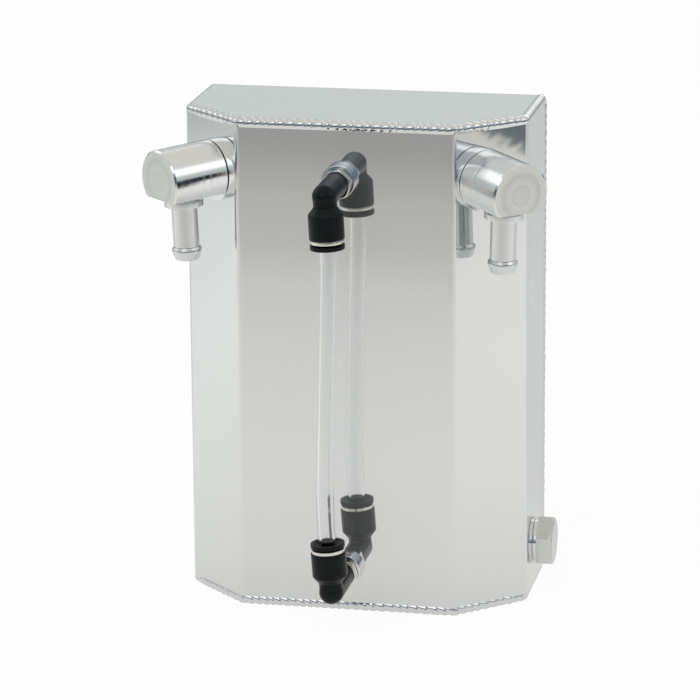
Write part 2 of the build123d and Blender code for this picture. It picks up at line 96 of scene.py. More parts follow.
# Small sizes that a user would seldom change
BROKEN_EDGE = 0.3 * MM
SOFT_EDGE = 0.35 * MM
PLUG_EDGE = 0.25 * MM
WASHER_EDGE = 0.15 * MM
BOSS_PITCH = 1.0 * MM
BOSS_TOOTH = 0.3 * MM
STEM_PITCH = 1.3 * MM
STEM_TOOTH = 0.6 * MM
STEM_SEAT = 0.1 * MM
STEM_BEVEL = 0.5 * MM
PLUG_TOOTH = 0.8 * MM
SPIGOT_TAIL = 2.5 * MM
BEAD_SHOULDER = 1.1 * MM
RING_WALL = 1.2 * MM
COLLAR_SLEEVE = 0.9 * MM
COLLAR_RIM = 1.2 * MM
COLLAR_LIP = 0.6 * MM
ELBOW_VOXEL = 0.3 * MM

# How the weld ripples vary, and the right side's share of the left side's dressing
RIPPLE_LENGTHS = (0.72, 1.28)
RIPPLE_CRESTS = (0.65, 1.0)
RIPPLE_STEPS = (-1.0, -0.86, -0.55, 0.0, 0.55, 0.86)
RIGHT_DRESSING = 0.45

# Tones of the studio that the metal mirrors
BLACK, WHITE = (0.0, 0.0, 0.0), (1.0, 1.0, 1.0)
GAP = (0.08, 0.13, 0.20)
WALL = (0.60, 0.64, 0.63)
HORIZON = (0.10, 0.16, 0.24)
CEILING_EDGE = (0.74, 0.72, 0.68)
CEILING = (0.72, 0.70, 0.66)
# Painted dark edge of the floor, which only the metal and the tube show
PAINTED_DARK_EDGE = (0.05, 0.07, 0.09)
FLOOR_GREY = (0.86, 0.86, 0.86)
FLOOR_SHOWN = 0.95

# Bright screen in front, light panels round the can, and a ragged painted dark edge on the floor on the
# right, which only the metal and the tube show
SCREEN_SIDE = (0.2, -1.0, 0.0)
PANEL_COUNT = 4.0
PANEL_TURN = 0.84
PAINTED_EDGE_START, PAINTED_EDGE_END = 0.978, 0.993
PAINTED_EDGE_MIDDLE = -0.2
PAINTED_EDGE_SLANT = -1.5
PAINTED_EDGE_RAGGED = 0.12


def size(name, millimetres, description):
    """A length that a user may change, given in millimetres and kept in metres."""
    return bpy.props.FloatProperty(
        name=name, description=description, default=millimetres * MM, unit="LENGTH", subtype="DISTANCE"
    )


def turn(name, degrees, description):
    """An angle that a user may change."""
    return bpy.props.FloatProperty(
        name=name, description=description, default=radians(degrees), unit="ROTATION", subtype="ANGLE"
    )


def share(name, value, description, most=1.0):
    """A plain number that a user may change."""
    return bpy.props.FloatProperty(name=name, description=description, default=value, min=0.0, max=most)


def colour(name, value, description):
    """A colour that a user may change."""
    return bpy.props.FloatVectorProperty(
        name=name, description=description, default=value, size=3, min=0.0, max=1.0, subtype="COLOR"
    )


class TankSettings(bpy.types.PropertyGroup):
    """Folded sheets and weld beads."""

    chamfer_front: size("Chamfer on the front", 28.4, "Cut from each front corner along the front")
    chamfer_side: size("Chamfer on the side", 26.2, "Cut from each front corner along the side")
    fold_radius: size("Fold radius", 4.5, "Outside of the folds")
    bead_radius: size("Bead radius", 2.93, "Crest of a weld ripple, round the inner corner of the groove")
    ripple_pitch: size("Ripple pitch", 3.7, "From one weld ripple to the next")
    ripple_depth: size("Ripple depth", 0.68, "Valley between two ripples below their crests")
    dressed_radius: size("Dressed radius", 2.1, "Bead where it was dressed along the sides")
    dressed_lift: size("Dressed lift", 0.25, "How far a valley stays above the dressed underside")
    boss_radius: size("Boss radius", 7.0, "Tapped mounting boss behind the back sheet")
    boss_spigot_radius: size("Boss spigot radius", 5.5, "Spigot of a boss, flush with the back")
    boss_hole_depth: size("Boss hole depth", 11.0, "Blind tapped hole in a boss")


class PortSettings(bpy.types.PropertyGroup):
    """Swivelling hose ports on the chamfers."""

    bung_radius: size("Bung radius", 11.0, "Bush inside the tank")
    bung_reach: size("Bung reach", 10.0, "Bush inwards from the outside of the sheet")
    flange: size("Bung flange", 3.25, "Flange of the bush on the chamfer")
    foot: size("Flange foot", 1.0, "Flange set into the sheet, since the port droops a little")
    gap: size("Joint gap", 0.7, "Between the bush and the head")
    washer_radius: size("Thrust washer radius", 10.0, "Plastic washer in that gap")
    head_radius: size("Head radius", 13.65, "Swivelling head and bush flange")
    head_edge: size("Head edge", 0.72, "Broken edge round the end of the head")
    head_length: size("Head length", 26.65, "Head along its axis")
    flat_drop: size("Flat drop", 8.2, "Milled flat below the head's axis")
    spigot_radius: size("Spigot radius", 8.0, "Spigot of the head in the bush")
    barb_set: size("Barb set", 14.4, "Barb from the inner end of the head")
    neck_radius: size("Barb neck radius", 6.9, "Neck of the barb on the milled flat")
    neck: size("Barb neck", 1.6, "Neck along the barb")
    collar_radius: size("Barb collar radius", 8.65, "Collar of the barb below its neck")
    collar: size("Barb collar", 2.9, "Collar along the barb")
    stem_radius: size("Barb stem radius", 5.7, "Plain stem of the barb")
    bead_radius: size("Barb bead radius", 6.5, "Bead that grips the hose")
    bead_drop: size("Bead drop", 32.0, "Bead below the head's axis")
    bead_land: size("Bead land", 1.2, "Cylindrical part of the bead")
    tip_drop: size("Tip drop", 36.7, "End of the barb below the head's axis")
    tip_radius: size("Tip radius", 5.2, "End of the barb")
    bore_radius: size("Barb bore radius", 3.9, "Bore of the barb")


class GaugeSettings(bpy.types.PropertyGroup):
    """Push-fit elbows and the sight tube between them."""

    reach: size("Reach", 32.0, "Tube in front of the front sheet")
    boss_radius: size("Boss radius", 7.4, "Round boss welded to the front sheet")
    boss_rise: size("Boss rise", 4.9, "Boss in front of the sheet")
    spigot_radius: size("Boss spigot radius", 6.7, "Spigot of the boss in the sheet")
    spigot: size("Boss spigot", 5.0, "Spigot from the front of the sheet inwards")
    relief_radius: size("Relief radius", 5.6, "Groove between boss and hexagon")
    relief: size("Relief", 0.6, "Width of that groove")
    hexagon: size("Stem hexagon", 12.0, "Across the flats")
    hexagon_length: size("Hexagon length", 5.0, "Hexagon against the elbow")
    upper_turn: turn("Upper turn", 15.0, "How the upper hexagon came to rest when tightened")
    lower_turn: turn("Lower turn", -13.0, "How the lower hexagon came to rest when tightened")
    thread_radius: size("Stem thread radius", 4.85, "Thread in the tank's boss")
    thread: size("Stem thread", 9.0, "Length of that thread")
    barrel_radius: size("Barrel radius", 5.4, "Part of the elbow on the stem")
    neck_radius: size("Neck radius", 5.15, "Waist between barrel and socket")
    neck: size("Neck", 4.5, "Length of the waist")
    shoulder: size("Shoulder", 3.2, "Cone from the waist to the socket")
    socket_radius: size("Socket radius", 7.65, "Widest part of the elbow")
    socket: size("Socket", 10.6, "Length of the widest part")
    socket_wall: size("Socket wall", 1.7, "Wall round the pocket")
    pocket_start: size("Pocket start", 9.4, "Bottom of the pocket from the stem's axis")
    ring: size("Ring", 1.6, "Plated ring on the mouth of the socket")
    ring_inset: size("Ring inset", 0.45, "Rim of the ring inside the rim of the socket")
    collar_gap: size("Collar gap", 0.7, "Between the ring and the release collar")
    collar_radius: size("Collar radius", 7.5, "Release collar")
    collar: size("Collar", 2.0, "Flange of the release collar")
    collar_dish: size("Collar dish", 1.1, "Depth of the hollow in the collar's face")
    tube_radius: size("Tube radius", 4.0, "Outside of the sight tube")
    tube_wall: size("Tube wall", 1.25, "Wall of the sight tube")
    tube_room: size("Tube room", 0.1, "Between the tube and the collar")
    tube_stop: size("Tube stop", 7.6, "End of the tube from the stem's axis")
    bow_start: size("Bow start", 39.0, "Corner of the tube's bow from the lower stem")
    bow_end: size("Bow end", 30.0, "Second corner of the bow from the upper stem")
    bow_low: size("Low bend", 15.0, "Half length of the lower bend")
    bow_high: size("High bend", 7.0, "Half length of the upper bend")


class DrainSettings(bpy.types.PropertyGroup):
    """Drain plug on the right side."""

    hexagon: size("Plug hexagon", 21.0, "Across the flats")
    head: size("Plug head", 7.0, "Thickness of the hexagon")
    bevel: size("Plug bevel", 1.3, "Bevel of the hexagon's corners along the axis")
    rest_turn: turn("Rest turn", -19.0, "How the hexagon came to rest when tightened")
    thread_radius: size("Thread radius", 7.0, "Outside of the plug's thread")
    pitch: size("Thread pitch", 1.5, "Along the thread")
    washer_radius: size("Washer radius", 9.6, "Sealing washer under the head")
    hole_radius: size("Washer hole radius", 7.3, "Hole of the washer")


class FinishSettings(bpy.types.PropertyGroup):
    """Colours and roughness of the finishes."""

    sheet_colour: colour("Polished sheet", (0.80, 0.81, 0.81), "Polished aluminium sheet")
    sheet_roughness: share("Sheet roughness", 0.03, "Roughness of the polished sheet")
    haze_roughness: share("Haze roughness", 0.5, "Roughness of the faint haze over that polish")
    weld_colour: colour("Weld", (0.78, 0.78, 0.78), "Bright weld metal")
    turned_colour: colour("Turned aluminium", (0.82, 0.83, 0.83), "Machined aluminium")
    faced_colour: colour("Faced ends", (0.65, 0.66, 0.635), "Ends of the heads, faced on the lathe")
    turned_roughness: share("Turned roughness", 0.14, "Roughness of machined aluminium")
    nickel_colour: colour("Nickel", (0.78, 0.745, 0.67), "Plated brass")
    plug_colour: colour("Plug", (0.70, 0.71, 0.70), "Plated drain plug")
    plastic_colour: colour("Black plastic", (0.005, 0.006, 0.007), "Moulded elbows and collars")
    rubber_colour: colour("Rubber", (0.015, 0.015, 0.015), "Seals")
    tube_colour: colour("Clear tube", (0.96, 0.97, 0.97), "Clear plastic tube")


class StageSettings(bpy.types.PropertyGroup):
    """Camera and studio."""

    azimuth: turn("Azimuth", 11.59, "Camera to the right of the front")
    elevation: turn("Elevation", 15.41, "Camera above the horizon")
    roll: turn("Roll", -0.41, "Camera about its own axis")
    distance: size("Distance", 1711.96, "Camera from the point that it looks at")
    aim_side: size("Aim sideways", -5.78, "Point that the camera looks at, sideways")
    aim_height: size("Aim height", 108.62, "Point that the camera looks at, above the floor")
    lens: share("Lens", 197.96, "Focal length in millimetres", most=1000.0)
    floor_size: size("Floor", 12000.0, "Side of the floor")
    key_power: share("Key light", 14.0, "Overhead softbox in watts", most=500.0)
    fill_power: share("Fill light", 4.0, "Side softbox in watts", most=500.0)
    panel: share("Panels", 1.3, "Brightness of the light panels round the can", most=5.0)
    sky: share("Sky", 1.0, "Strength of the surroundings")


SETTINGS = {
    "can_tank": TankSettings,
    "can_ports": PortSettings,
    "can_gauge": GaugeSettings,
    "can_drain": DrainSettings,
    "can_finish": FinishSettings,
    "can_stage": StageSettings,
}


# Shapes

def carried(origin, along, across=UP):
    """Matrix that carries local Z onto a direction, with local Y as near as can be to another one."""
    z = Vector(along).normalized()
    x = Vector(across).cross(z).normalized()
    rotation = Matrix((x, z.cross(x), z)).transposed().to_4x4()
    return Matrix.Translation(origin) @ rotation


def closed(bm, near=NEAR, fill=False):
    """Merges points that coincide, closes open ends where asked, and turns the faces outwards."""
    bmesh.ops.remove_doubles(bm, verts=bm.verts, dist=near)
    if fill:
        bmesh.ops.holes_fill(bm, edges=bm.edges)
    bmesh.ops.recalc_face_normals(bm, faces=bm.faces)
    return bm


def absorb(bm, part, place=None):
    """Adds a finished shape to a larger one."""
    closed(part)
    if place:
        bmesh.ops.transform(part, matrix=place, verts=part.verts)
    mesh = bpy.data.meshes.new("part")
    part.to_mesh(mesh)
    part.free()
    bm.from_mesh(mesh)
    bpy.data.meshes.remove(mesh)


def placed(part, place):
    """A finished shape by itself, carried to its place."""
    bm = bmesh.new()
    absorb(bm, part, place)
    return bm


def spun(profile, steps=96):
    """Shape of revolution about local Z from (along, radius) points, closed where the points are."""
    part = bmesh.new()
    verts = [part.verts.new((radius, 0, along)) for along, radius in profile]
    edges = [part.edges.new(pair) for pair in zip(verts, verts[1:])]
    bmesh.ops.spin(
        part, geom=verts + edges, cent=(0, 0, 0), axis=(0, 0, 1), angle=2 * pi, steps=steps, use_merge=True
    )
    return closed(part)


def soften(part, width, sharpest=radians(28)):
    """Rounds the edges that a tool would leave slightly broken."""
    edges = [
        edge for edge in part.edges if len(edge.link_faces) == 2 and edge.calc_face_angle(0) > sharpest
    ]
    bmesh.ops.bevel(
        part, geom=edges, offset=width, offset_type="OFFSET", segments=2, profile=0.5,
        affect="EDGES", clamp_overlap=True, material=-1,
    )
    return part


def washer_shape(low, high, inner, outer, edge):
    """Flat ring along local Z with broken edges."""
    profile = [(low, inner), (low, outer), (high, outer), (high, inner), (low, inner)]
    return soften(spun(profile), edge)


def sliced(part, point, normal, geometry=None):
    """Cuts away what lies beyond a plane, and gives the edges of the cut."""
    cut = bmesh.ops.bisect_plane(
        part, geom=geometry or part.verts[:] + part.edges[:] + part.faces[:], dist=NEAR, plane_co=point,
        plane_no=normal, clear_outer=True,
    )
    return [item for item in cut["geom_cut"] if isinstance(item, bmesh.types.BMEdge)]


def hexagon(across, low, high, bevel=0.0, lower_bevel=0.0, start=0.0, steps=96):
    """Solid hexagon along local Z, its corners bevelled by a cone at one end or both."""
    part = bmesh.new()
    apothem = across / 2
    corner = apothem / cos(pi / 6)
    sextant = steps // 6
    rings = [(low, lower_bevel, True), (low, lower_bevel, False), (high, bevel, False), (high, bevel, True)]
    made = bmesh.ops.create_grid(part, x_segments=steps, y_segments=len(rings) - 1, size=1.0)
    for vert in made["verts"]:
        index = round((vert.co.x + 1) / 2 * steps)
        height, depth, is_face = rings[round((vert.co.y + 1) / 2 * (len(rings) - 1))]
        out = apothem / cos((index % sextant) * 2 * pi / steps - pi / 6)
        cone = corner - 2 * depth
        if is_face:
            out = min(out, cone)
        else:
            drop = max(0.0, out - cone) / 2
            height += drop if height == low else -drop
        angle = start + index * 2 * pi / steps
        vert.co = (out * cos(angle), out * sin(angle), height)
    return closed(part, fill=True)


def threaded(radius, pitch, length, depth, steps=48):
    """Screw thread along local Z from zero: a tooth, spun and lifted a pitch each turn, then faced off."""
    part = bmesh.new()
    root = radius - depth
    tooth = [(0.0, root), (0.42 * pitch, radius), (0.58 * pitch, radius), (pitch, root)]
    verts = [part.verts.new((out, 0, along - 2 * pitch)) for along, out in tooth]
    edges = [part.edges.new(pair) for pair in zip(verts, verts[1:])]
    turns = ceil(length / pitch) + 3
    bmesh.ops.spin(
        part, geom=verts + edges, cent=(0, 0, 0), axis=(0, 0, 1), dvec=(0, 0, pitch / steps),
        angle=2 * pi * turns, steps=steps * turns, use_merge=False,
    )
    bmesh.ops.remove_doubles(part, verts=part.verts, dist=pitch * 1e-4)
    for level, away in ((0, -1), (length, 1)):
        bmesh.ops.contextual_create(part, geom=sliced(part, (0, 0, level), (0, 0, away)))
    bmesh.ops.recalc_face_normals(part, faces=part.faces)
    return part


class Route:
    """Line of straight runs joined by tangent arcs, walked by distance."""

    def __init__(self, corners, radii, step=radians(5)):
        points = [Vector(corners[0])]
        for before, corner, after, radius in zip(corners, corners[1:], corners[2:], radii):
            corner = Vector(corner)
            back = (Vector(before) - corner).normalized()
            ahead = (Vector(after) - corner).normalized()
            bend = pi - back.angle(ahead)
            begin = corner + back * radius * tan(bend / 2)
            middle = corner + (back + ahead).normalized() * radius / cos(bend / 2)
            axis = back.cross(ahead).normalized()
            pieces = max(8, ceil(bend / step))
            for index in range(pieces + 1):
                spin = Matrix.Rotation(-bend * index / pieces, 3, axis)
                points.append(middle + spin @ (begin - middle))
        points.append(Vector(corners[-1]))
        self.points = points
        self.marks = [0.0]
        for here, there in zip(points, points[1:]):
            self.marks.append(self.marks[-1] + (there - here).length)
        self.length = self.marks[-1]
        runs = [(there - here).normalized() for here, there in zip(points, points[1:])]
        self.headings = [runs[0]] + [(a + b).normalized() for a, b in zip(runs, runs[1:])] + [runs[-1]]

    def at(self, distance):
        """Place and heading at a distance from the start."""
        index = min(max(bisect_right(self.marks, distance) - 1, 0), len(self.marks) - 2)
        part = (distance - self.marks[index]) / max(self.marks[index + 1] - self.marks[index], 1e-12)
        place = self.points[index].lerp(self.points[index + 1], part)
        part = min(max(part, 0.0), 1.0)
        return place, self.headings[index].lerp(self.headings[index + 1], part).normalized()


def add_piece(node, bm, *finishes, crease=radians(32)):
    """Makes a finished shape a piece that stands for a CAD node and rides on its body."""
    bmesh.ops.remove_doubles(bm, verts=bm.verts, dist=NEAR)
    mesh = bpy.data.meshes.new(f"finished_{node}")
    bm.to_mesh(mesh)
    bm.free()
    mesh.shade_smooth()
    mesh.set_sharp_from_angle(angle=crease)
    for finish in finishes:
        mesh.materials.append(finish)
    piece = bpy.data.objects.new(f"finished_{node}", mesh)
    bpy.context.scene.collection.objects.link(piece)
    even = piece.modifiers.new("Even faces", "WEIGHTED_NORMAL")
    even.keep_sharp = True
    even.weight = 80
    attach(piece, frame["nodes"][node]["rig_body"])
    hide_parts(node)
    return piece


# Finishes

def put(tree, kind, sockets=None, **settings):
    """Adds a node, sets its options, and links or sets its inputs by name or number."""
    node = tree.nodes.new(kind)
    for option, value in settings.items():
        setattr(node, option, value)
    for socket, value in (sockets or {}).items():
        if isinstance(value, bpy.types.NodeSocket):
            tree.links.new(value, node.inputs[socket])
        else:
            node.inputs[socket].default_value = value
    return node


def calc(tree, operation, *values):
    """Result of a Math node."""
    return put(tree, "ShaderNodeMath", dict(enumerate(values)), operation=operation).outputs[0]


def noise(tree, vector, scale, detail):
    """Soft random value over a surface."""
    sockets = {"Vector": vector, "Scale": scale, "Detail": detail}
    return put(tree, "ShaderNodeTexNoise", sockets).outputs[0]


def mixed(tree, factor, first, second, blend_type="MIX"):
    """Colour made from two colours."""
    sockets = {"Factor": factor, "A": first, "B": second}
    return put(tree, "ShaderNodeMix", sockets, data_type="RGBA", blend_type=blend_type).outputs["Result"]


def shader_group(name, inputs, outputs):
    """Empty node group with named float or vector sockets, and its input and output nodes."""
    tree = bpy.data.node_groups.new(name, "ShaderNodeTree")
    for label, kind, value in inputs:
        socket = tree.interface.new_socket(label, in_out="INPUT", socket_type=kind)
        if value is not None:
            socket.default_value = value
    for label, kind in outputs:
        tree.interface.new_socket(label, in_out="OUTPUT", socket_type=kind)
    return tree, tree.nodes.new("NodeGroupInput"), tree.nodes.new("NodeGroupOutput")


def turning_marks_group():
    """Rings that a lathe tool leaves round local Z, on the walls and on the end faces alike."""
    tree, given, result = shader_group(
        "Turning marks",
        [("Vector", "NodeSocketVector", None), ("Rings per metre", "NodeSocketFloat", 4000.0)],
        [("Height", "NodeSocketFloat"), ("Mask", "NodeSocketFloat")],
    )
    x, y, z = put(tree, "ShaderNodeSeparateXYZ", {0: given.outputs["Vector"]}).outputs
    flat = put(tree, "ShaderNodeCombineXYZ", {0: x, 1: y}).outputs[0]
    radius = put(tree, "ShaderNodeVectorMath", {0: flat}, operation="LENGTH").outputs["Value"]
    walk = calc(tree, "MULTIPLY", calc(tree, "ADD", radius, z), given.outputs["Rings per metre"])
    for output, scale in (("Height", 1.0), ("Mask", 0.13)):
        sockets = {"W": walk, "Scale": scale, "Detail": 2.0}
        rings = put(tree, "ShaderNodeTexNoise", sockets, noise_dimensions="1D")
        tree.links.new(rings.outputs[0], result.inputs[output])
    return tree


def haze_group():
    """Soft clouds of wear and fine specks, as on hand-polished metal and moulded plastic."""
    tree, given, result = shader_group(
        "Haze",
        [
            ("Vector", "NodeSocketVector", None),
            ("Cloud scale", "NodeSocketFloat", 25.0),
            ("Speck scale", "NodeSocketFloat", 2500.0),
        ],
        [("Cloud", "NodeSocketFloat"), ("Speck", "NodeSocketFloat")],
    )
    for output, detail in (("Cloud", 4.0), ("Speck", 1.0)):
        value = noise(tree, given.outputs["Vector"], given.outputs[f"{output} scale"], detail)
        tree.links.new(value, result.inputs[output])
    return tree


def group(tree, build, name, sockets):
    """Places a shared effect in a material, building it the first time."""
    return put(tree, "ShaderNodeGroup", sockets, node_tree=bpy.data.node_groups.get(name) or build())


def spread(tree, value, low, high, begin=0.3, end=0.7):
    """Stretches a value to a range."""
    sockets = {"Value": value, "From Min": begin, "From Max": end, "To Min": low, "To Max": high}
    return put(tree, "ShaderNodeMapRange", sockets).outputs[0]


def new_finish(name, **values):
    """Material with one Principled shader and its plain values."""
    material = bpy.data.materials.new(name)
    material.use_nodes = True
    tree = material.node_tree
    shader = tree.nodes["Principled BSDF"]
    for socket, value in values.items():
        shader.inputs[socket.replace("_", " ")].default_value = value
    return material, tree, shader


def local_coordinates(tree, place):
    """Object coordinates seen from a piece's own axis."""
    given = put(tree, "ShaderNodeTexCoord")
    mapping = put(
        tree, "ShaderNodeMapping",
        {"Vector": given.outputs["Object"], "Location": place.translation, "Rotation": place.to_euler()},
        vector_type="TEXTURE",
    )
    return mapping.outputs[0]


def bump(tree, shader, height, distance, strength=1.0):
    """Small relief on a surface."""
    node = put(tree, "ShaderNodeBump", {"Height": height, "Distance": distance, "Strength": strength})
    tree.links.new(node.outputs[0], shader.inputs["Normal"])


def opaque(rgb):
    return (*rgb, 1.0)


def clouded(name, clouds, specks, rough, relief=0.0, stretch=None, **values):
    """Material with cloudy roughness and, where it has any, fine relief in millimetres."""
    material, tree, shader = new_finish(name, **values)
    vector = put(tree, "ShaderNodeTexCoord").outputs["Object"]
    if stretch:
        vector = put(tree, "ShaderNodeMapping", {"Vector": vector, "Scale": stretch}).outputs[0]
    haze = group(
        tree, haze_group, "Haze", {"Vector": vector, "Cloud scale": clouds, "Speck scale": specks}
    )
    tree.links.new(spread(tree, haze.outputs["Cloud"], *rough), shader.inputs["Roughness"])
    if relief:
        bump(tree, shader, haze.outputs["Speck"], relief * MM)
    return material, tree, shader, haze


def polished_sheet():
    """Rolled sheet, polished: mirror-like and slightly wavy, under a faint haze."""
    finish = bpy.context.scene.can_finish
    rough = finish.sheet_roughness
    material, tree, shader = clouded(
        "Polished sheet", clouds=18.0, specks=4000.0, rough=(rough * 0.8, rough * 1.3), Metallic=0.95,
        Base_Color=opaque(finish.sheet_colour), Coat_Weight=1.0, Coat_Roughness=finish.haze_roughness,
        Coat_IOR=2.0,
    )[:3]
    wave = noise(tree, put(tree, "ShaderNodeTexCoord").outputs["Object"], 9.0, 1.0)
    bump(tree, shader, wave, 0.3 * MM)
    return material


def weld_metal():
    """Bright cast skin of a weld bead, a little cloudy."""
    tint = opaque(bpy.context.scene.can_finish.weld_colour)
    return clouded(
        "Weld metal", clouds=320.0, specks=3000.0, rough=(0.05, 0.13), relief=0.02, Metallic=1.0,
        Base_Color=tint,
    )[0]


def turned_metal(name, place, rings=4000.0, depth=0.012, roughness=None, shade=1.0, uneven=(0.7, 1.5)):
    """Machined aluminium with the tool's rings round the piece's own axis."""
    finish = bpy.context.scene.can_finish
    tint = [value * shade for value in finish.turned_colour]
    material, tree, shader = new_finish(name, Metallic=1.0, Base_Color=opaque(tint))
    sockets = {"Vector": local_coordinates(tree, place), "Rings per metre": rings}
    marks = group(tree, turning_marks_group, "Turning marks", sockets)
    rough = roughness or finish.turned_roughness
    low, high = (rough * factor for factor in uneven)
    tree.links.new(spread(tree, marks.outputs["Mask"], low, high), shader.inputs["Roughness"])
    bump(tree, shader, marks.outputs["Height"], depth * MM)
    return material


def faced_metal(name, place):
    """End of a head as the lathe left it: concentric rings, paler and darker, duller than the wall."""
    finish = bpy.context.scene.can_finish
    material, tree, shader = new_finish(name, Metallic=1.0)
    sockets = {"Vector": local_coordinates(tree, place), "Rings per metre": 1500.0}
    marks = group(tree, turning_marks_group, "Turning marks", sockets)
    deep, pale = (opaque([value * part for value in finish.faced_colour]) for part in (0.94, 1.05))
    tint = mixed(tree, spread(tree, marks.outputs["Height"], 0.0, 1.0), deep, pale)
    tree.links.new(tint, shader.inputs["Base Color"])
    tree.links.new(spread(tree, marks.outputs["Mask"], 0.14, 0.30), shader.inputs["Roughness"])
    bump(tree, shader, marks.outputs["Height"], 0.012 * MM)
    return material


def nickel_plate():
    """Bright plating on the gauge stems and rings, slightly warm and cloudy."""
    tint = opaque(bpy.context.scene.can_finish.nickel_colour)
    return clouded(
        "Nickel plate", clouds=300.0, specks=5000.0, rough=(0.07, 0.14), relief=0.003, Metallic=1.0,
        Base_Color=tint,
    )[0]


def plated_steel():
    """Satin plating on the drain plug."""
    tint = opaque(bpy.context.scene.can_finish.plug_colour)
    return clouded(
        "Plated steel", clouds=200.0, specks=6000.0, rough=(0.16, 0.26), relief=0.003, Metallic=1.0,
        Base_Color=tint,
    )[0]


def black_plastic():
    """Moulded black plastic with a fine satin skin."""
    finish = bpy.context.scene.can_finish
    material, tree, shader, haze = clouded(
        "Black plastic", clouds=260.0, specks=5200.0, rough=(0.20, 0.28), relief=0.02, Specular_IOR_Level=0.14
    )
    deep, pale = (opaque([value * part for value in finish.plastic_colour]) for part in (0.8, 1.3))
    tree.links.new(mixed(tree, haze.outputs["Cloud"], deep, pale), shader.inputs["Base Color"])
    return material


def seal_rubber():
    """Dull black rubber."""
    tint = opaque(bpy.context.scene.can_finish.rubber_colour)
    return clouded("Seal rubber", clouds=300.0, specks=4000.0, rough=(0.55, 0.75), Base_Color=tint)[0]


def clear_plastic():
    """Clear extruded tube with faint draw lines."""
    return clouded(
        "Clear plastic", clouds=700.0, specks=3000.0, rough=(0.02, 0.06), stretch=(1.0, 1.0, 0.02), IOR=1.46,
        Base_Color=opaque(bpy.context.scene.can_finish.tube_colour), Transmission_Weight=1.0,
    )[0]


FINISHES = {
    "tank_sheet": polished_sheet,
    "weld_bead": weld_metal,
    "turned_aluminium": lambda: turned_metal("Turned aluminium", Matrix.Identity(4)),
    "black_acetal": seal_rubber,
    "seal_rubber": seal_rubber,
    "spring_steel": plated_steel,
    "nickel_plate": nickel_plate,
    "black_plastic": black_plastic,
    "clear_tube": clear_plastic,
    "drain_steel": plated_steel,
}
MADE = {}


def finish_of(node):
    """The finish of a node's material slot, made once."""
    build = FINISHES[SLOTS[node]]
    if build not in MADE:
        MADE[build] = build()
    return MADE[build]


# Places on the tank

def wall_corners(inset, rear):
    """Corners of the tank's plan from rear left to rear right, moved inwards by inset."""
    tank = bpy.context.scene.can_tank
    side_turn = atan2(tank.chamfer_front, tank.chamfer_side)
    side_end = FRONT + tank.chamfer_side + inset * tan(side_turn / 2)
    front_end = SIDE - tank.chamfer_front - inset * tan((pi / 2 - side_turn) / 2)
    left = [(inset - SIDE, rear), (inset - SIDE, side_end), (-front_end, FRONT + inset)]
    return left + [(-x, y) for x, y in reversed(left)]


def port_place(side):
    """Frame of a port: local Z out of the tank along the swivel, local Y up."""
    joint = JOINTS[f"{side}_port_swivel"]
    return carried(Vector(joint["pos_m"]), Vector(joint["axis"]))


def elbow_place(level):
    """Frame of an elbow: local Z along its socket, local Y back along its stem."""
    gauge = bpy.context.scene.can_gauge
    low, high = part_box(f"elbow_stem_{level}")
    middle = (low + high) / 2
    middle.y = FRONT - gauge.reach
    press = Vector(JOINTS[f"{level}_collar_press"]["axis"])
    return carried(middle, -press, across=Vector((0, 1, 0)))


def bolt_centres():
    """Centres of the bolt holes in the back."""
    bolts = MOUNTS["rear_bolts"]
    across, apart = (bolts["dims"][key] * MM / 2 for key in ("spacing_x_mm", "spacing_y_mm"))
    middle = Vector(bolts["pos_m"])
    return [middle + Vector((x, 0, z)) for x in (-across, across) for z in (-apart, apart)]


def cut_holes(bm, centres, normal, radius):
    """Cuts round holes in the flat face that carries their centres."""
    holds = bmesh.geometry.intersect_face_point
    face = next(
        face for face in bm.faces
        if abs((face.calc_center_median() - centres[0]).dot(normal)) < 1e-6
        and abs(face.normal.dot(normal)) > 0.999 and holds(face, centres[0])
    )
    edges = face.edges[:]
    bmesh.ops.delete(bm, geom=[face], context="FACES_ONLY")
    for centre in centres:
        place = carried(centre, normal, Vector((0.01, 0.02, 1)))
        circle = bmesh.ops.create_circle(bm, cap_ends=False, segments=64, radius=radius, matrix=place)
        edges += list({edge for vert in circle["verts"] for edge in vert.link_edges})
    bmesh.ops.triangle_fill(bm, use_beauty=True, use_dissolve=False, edges=edges, normal=normal)


def folded(route_points, reach):
    """Sheet surface: a line of points drawn out along a vector."""
    bm = bmesh.new()
    verts = [bm.verts.new(point) for point in route_points]
    edges = [bm.edges.new(pair) for pair in zip(verts, verts[1:])]
    drawn = bmesh.ops.extrude_edge_only(bm, edges=edges)
    moved = [item for item in drawn["geom"] if isinstance(item, bmesh.types.BMVert)]
    bmesh.ops.translate(bm, vec=reach, verts=moved)
    return bm


def thicken(bm, outwards):
    """Gives a sheet surface its thickness inwards; outwards tells which way its largest face looks."""
    bmesh.ops.recalc_face_normals(bm, faces=bm.faces)
    probe = max(bm.faces, key=lambda face: face.calc_area())
    if probe.normal.dot(outwards(probe)) < 0:
        bmesh.ops.reverse_faces(bm, faces=bm.faces)
    bmesh.ops.solidify(bm, geom=bm.faces[:], thickness=SHEET)
    bmesh.ops.recalc_face_normals(bm, faces=bm.faces)


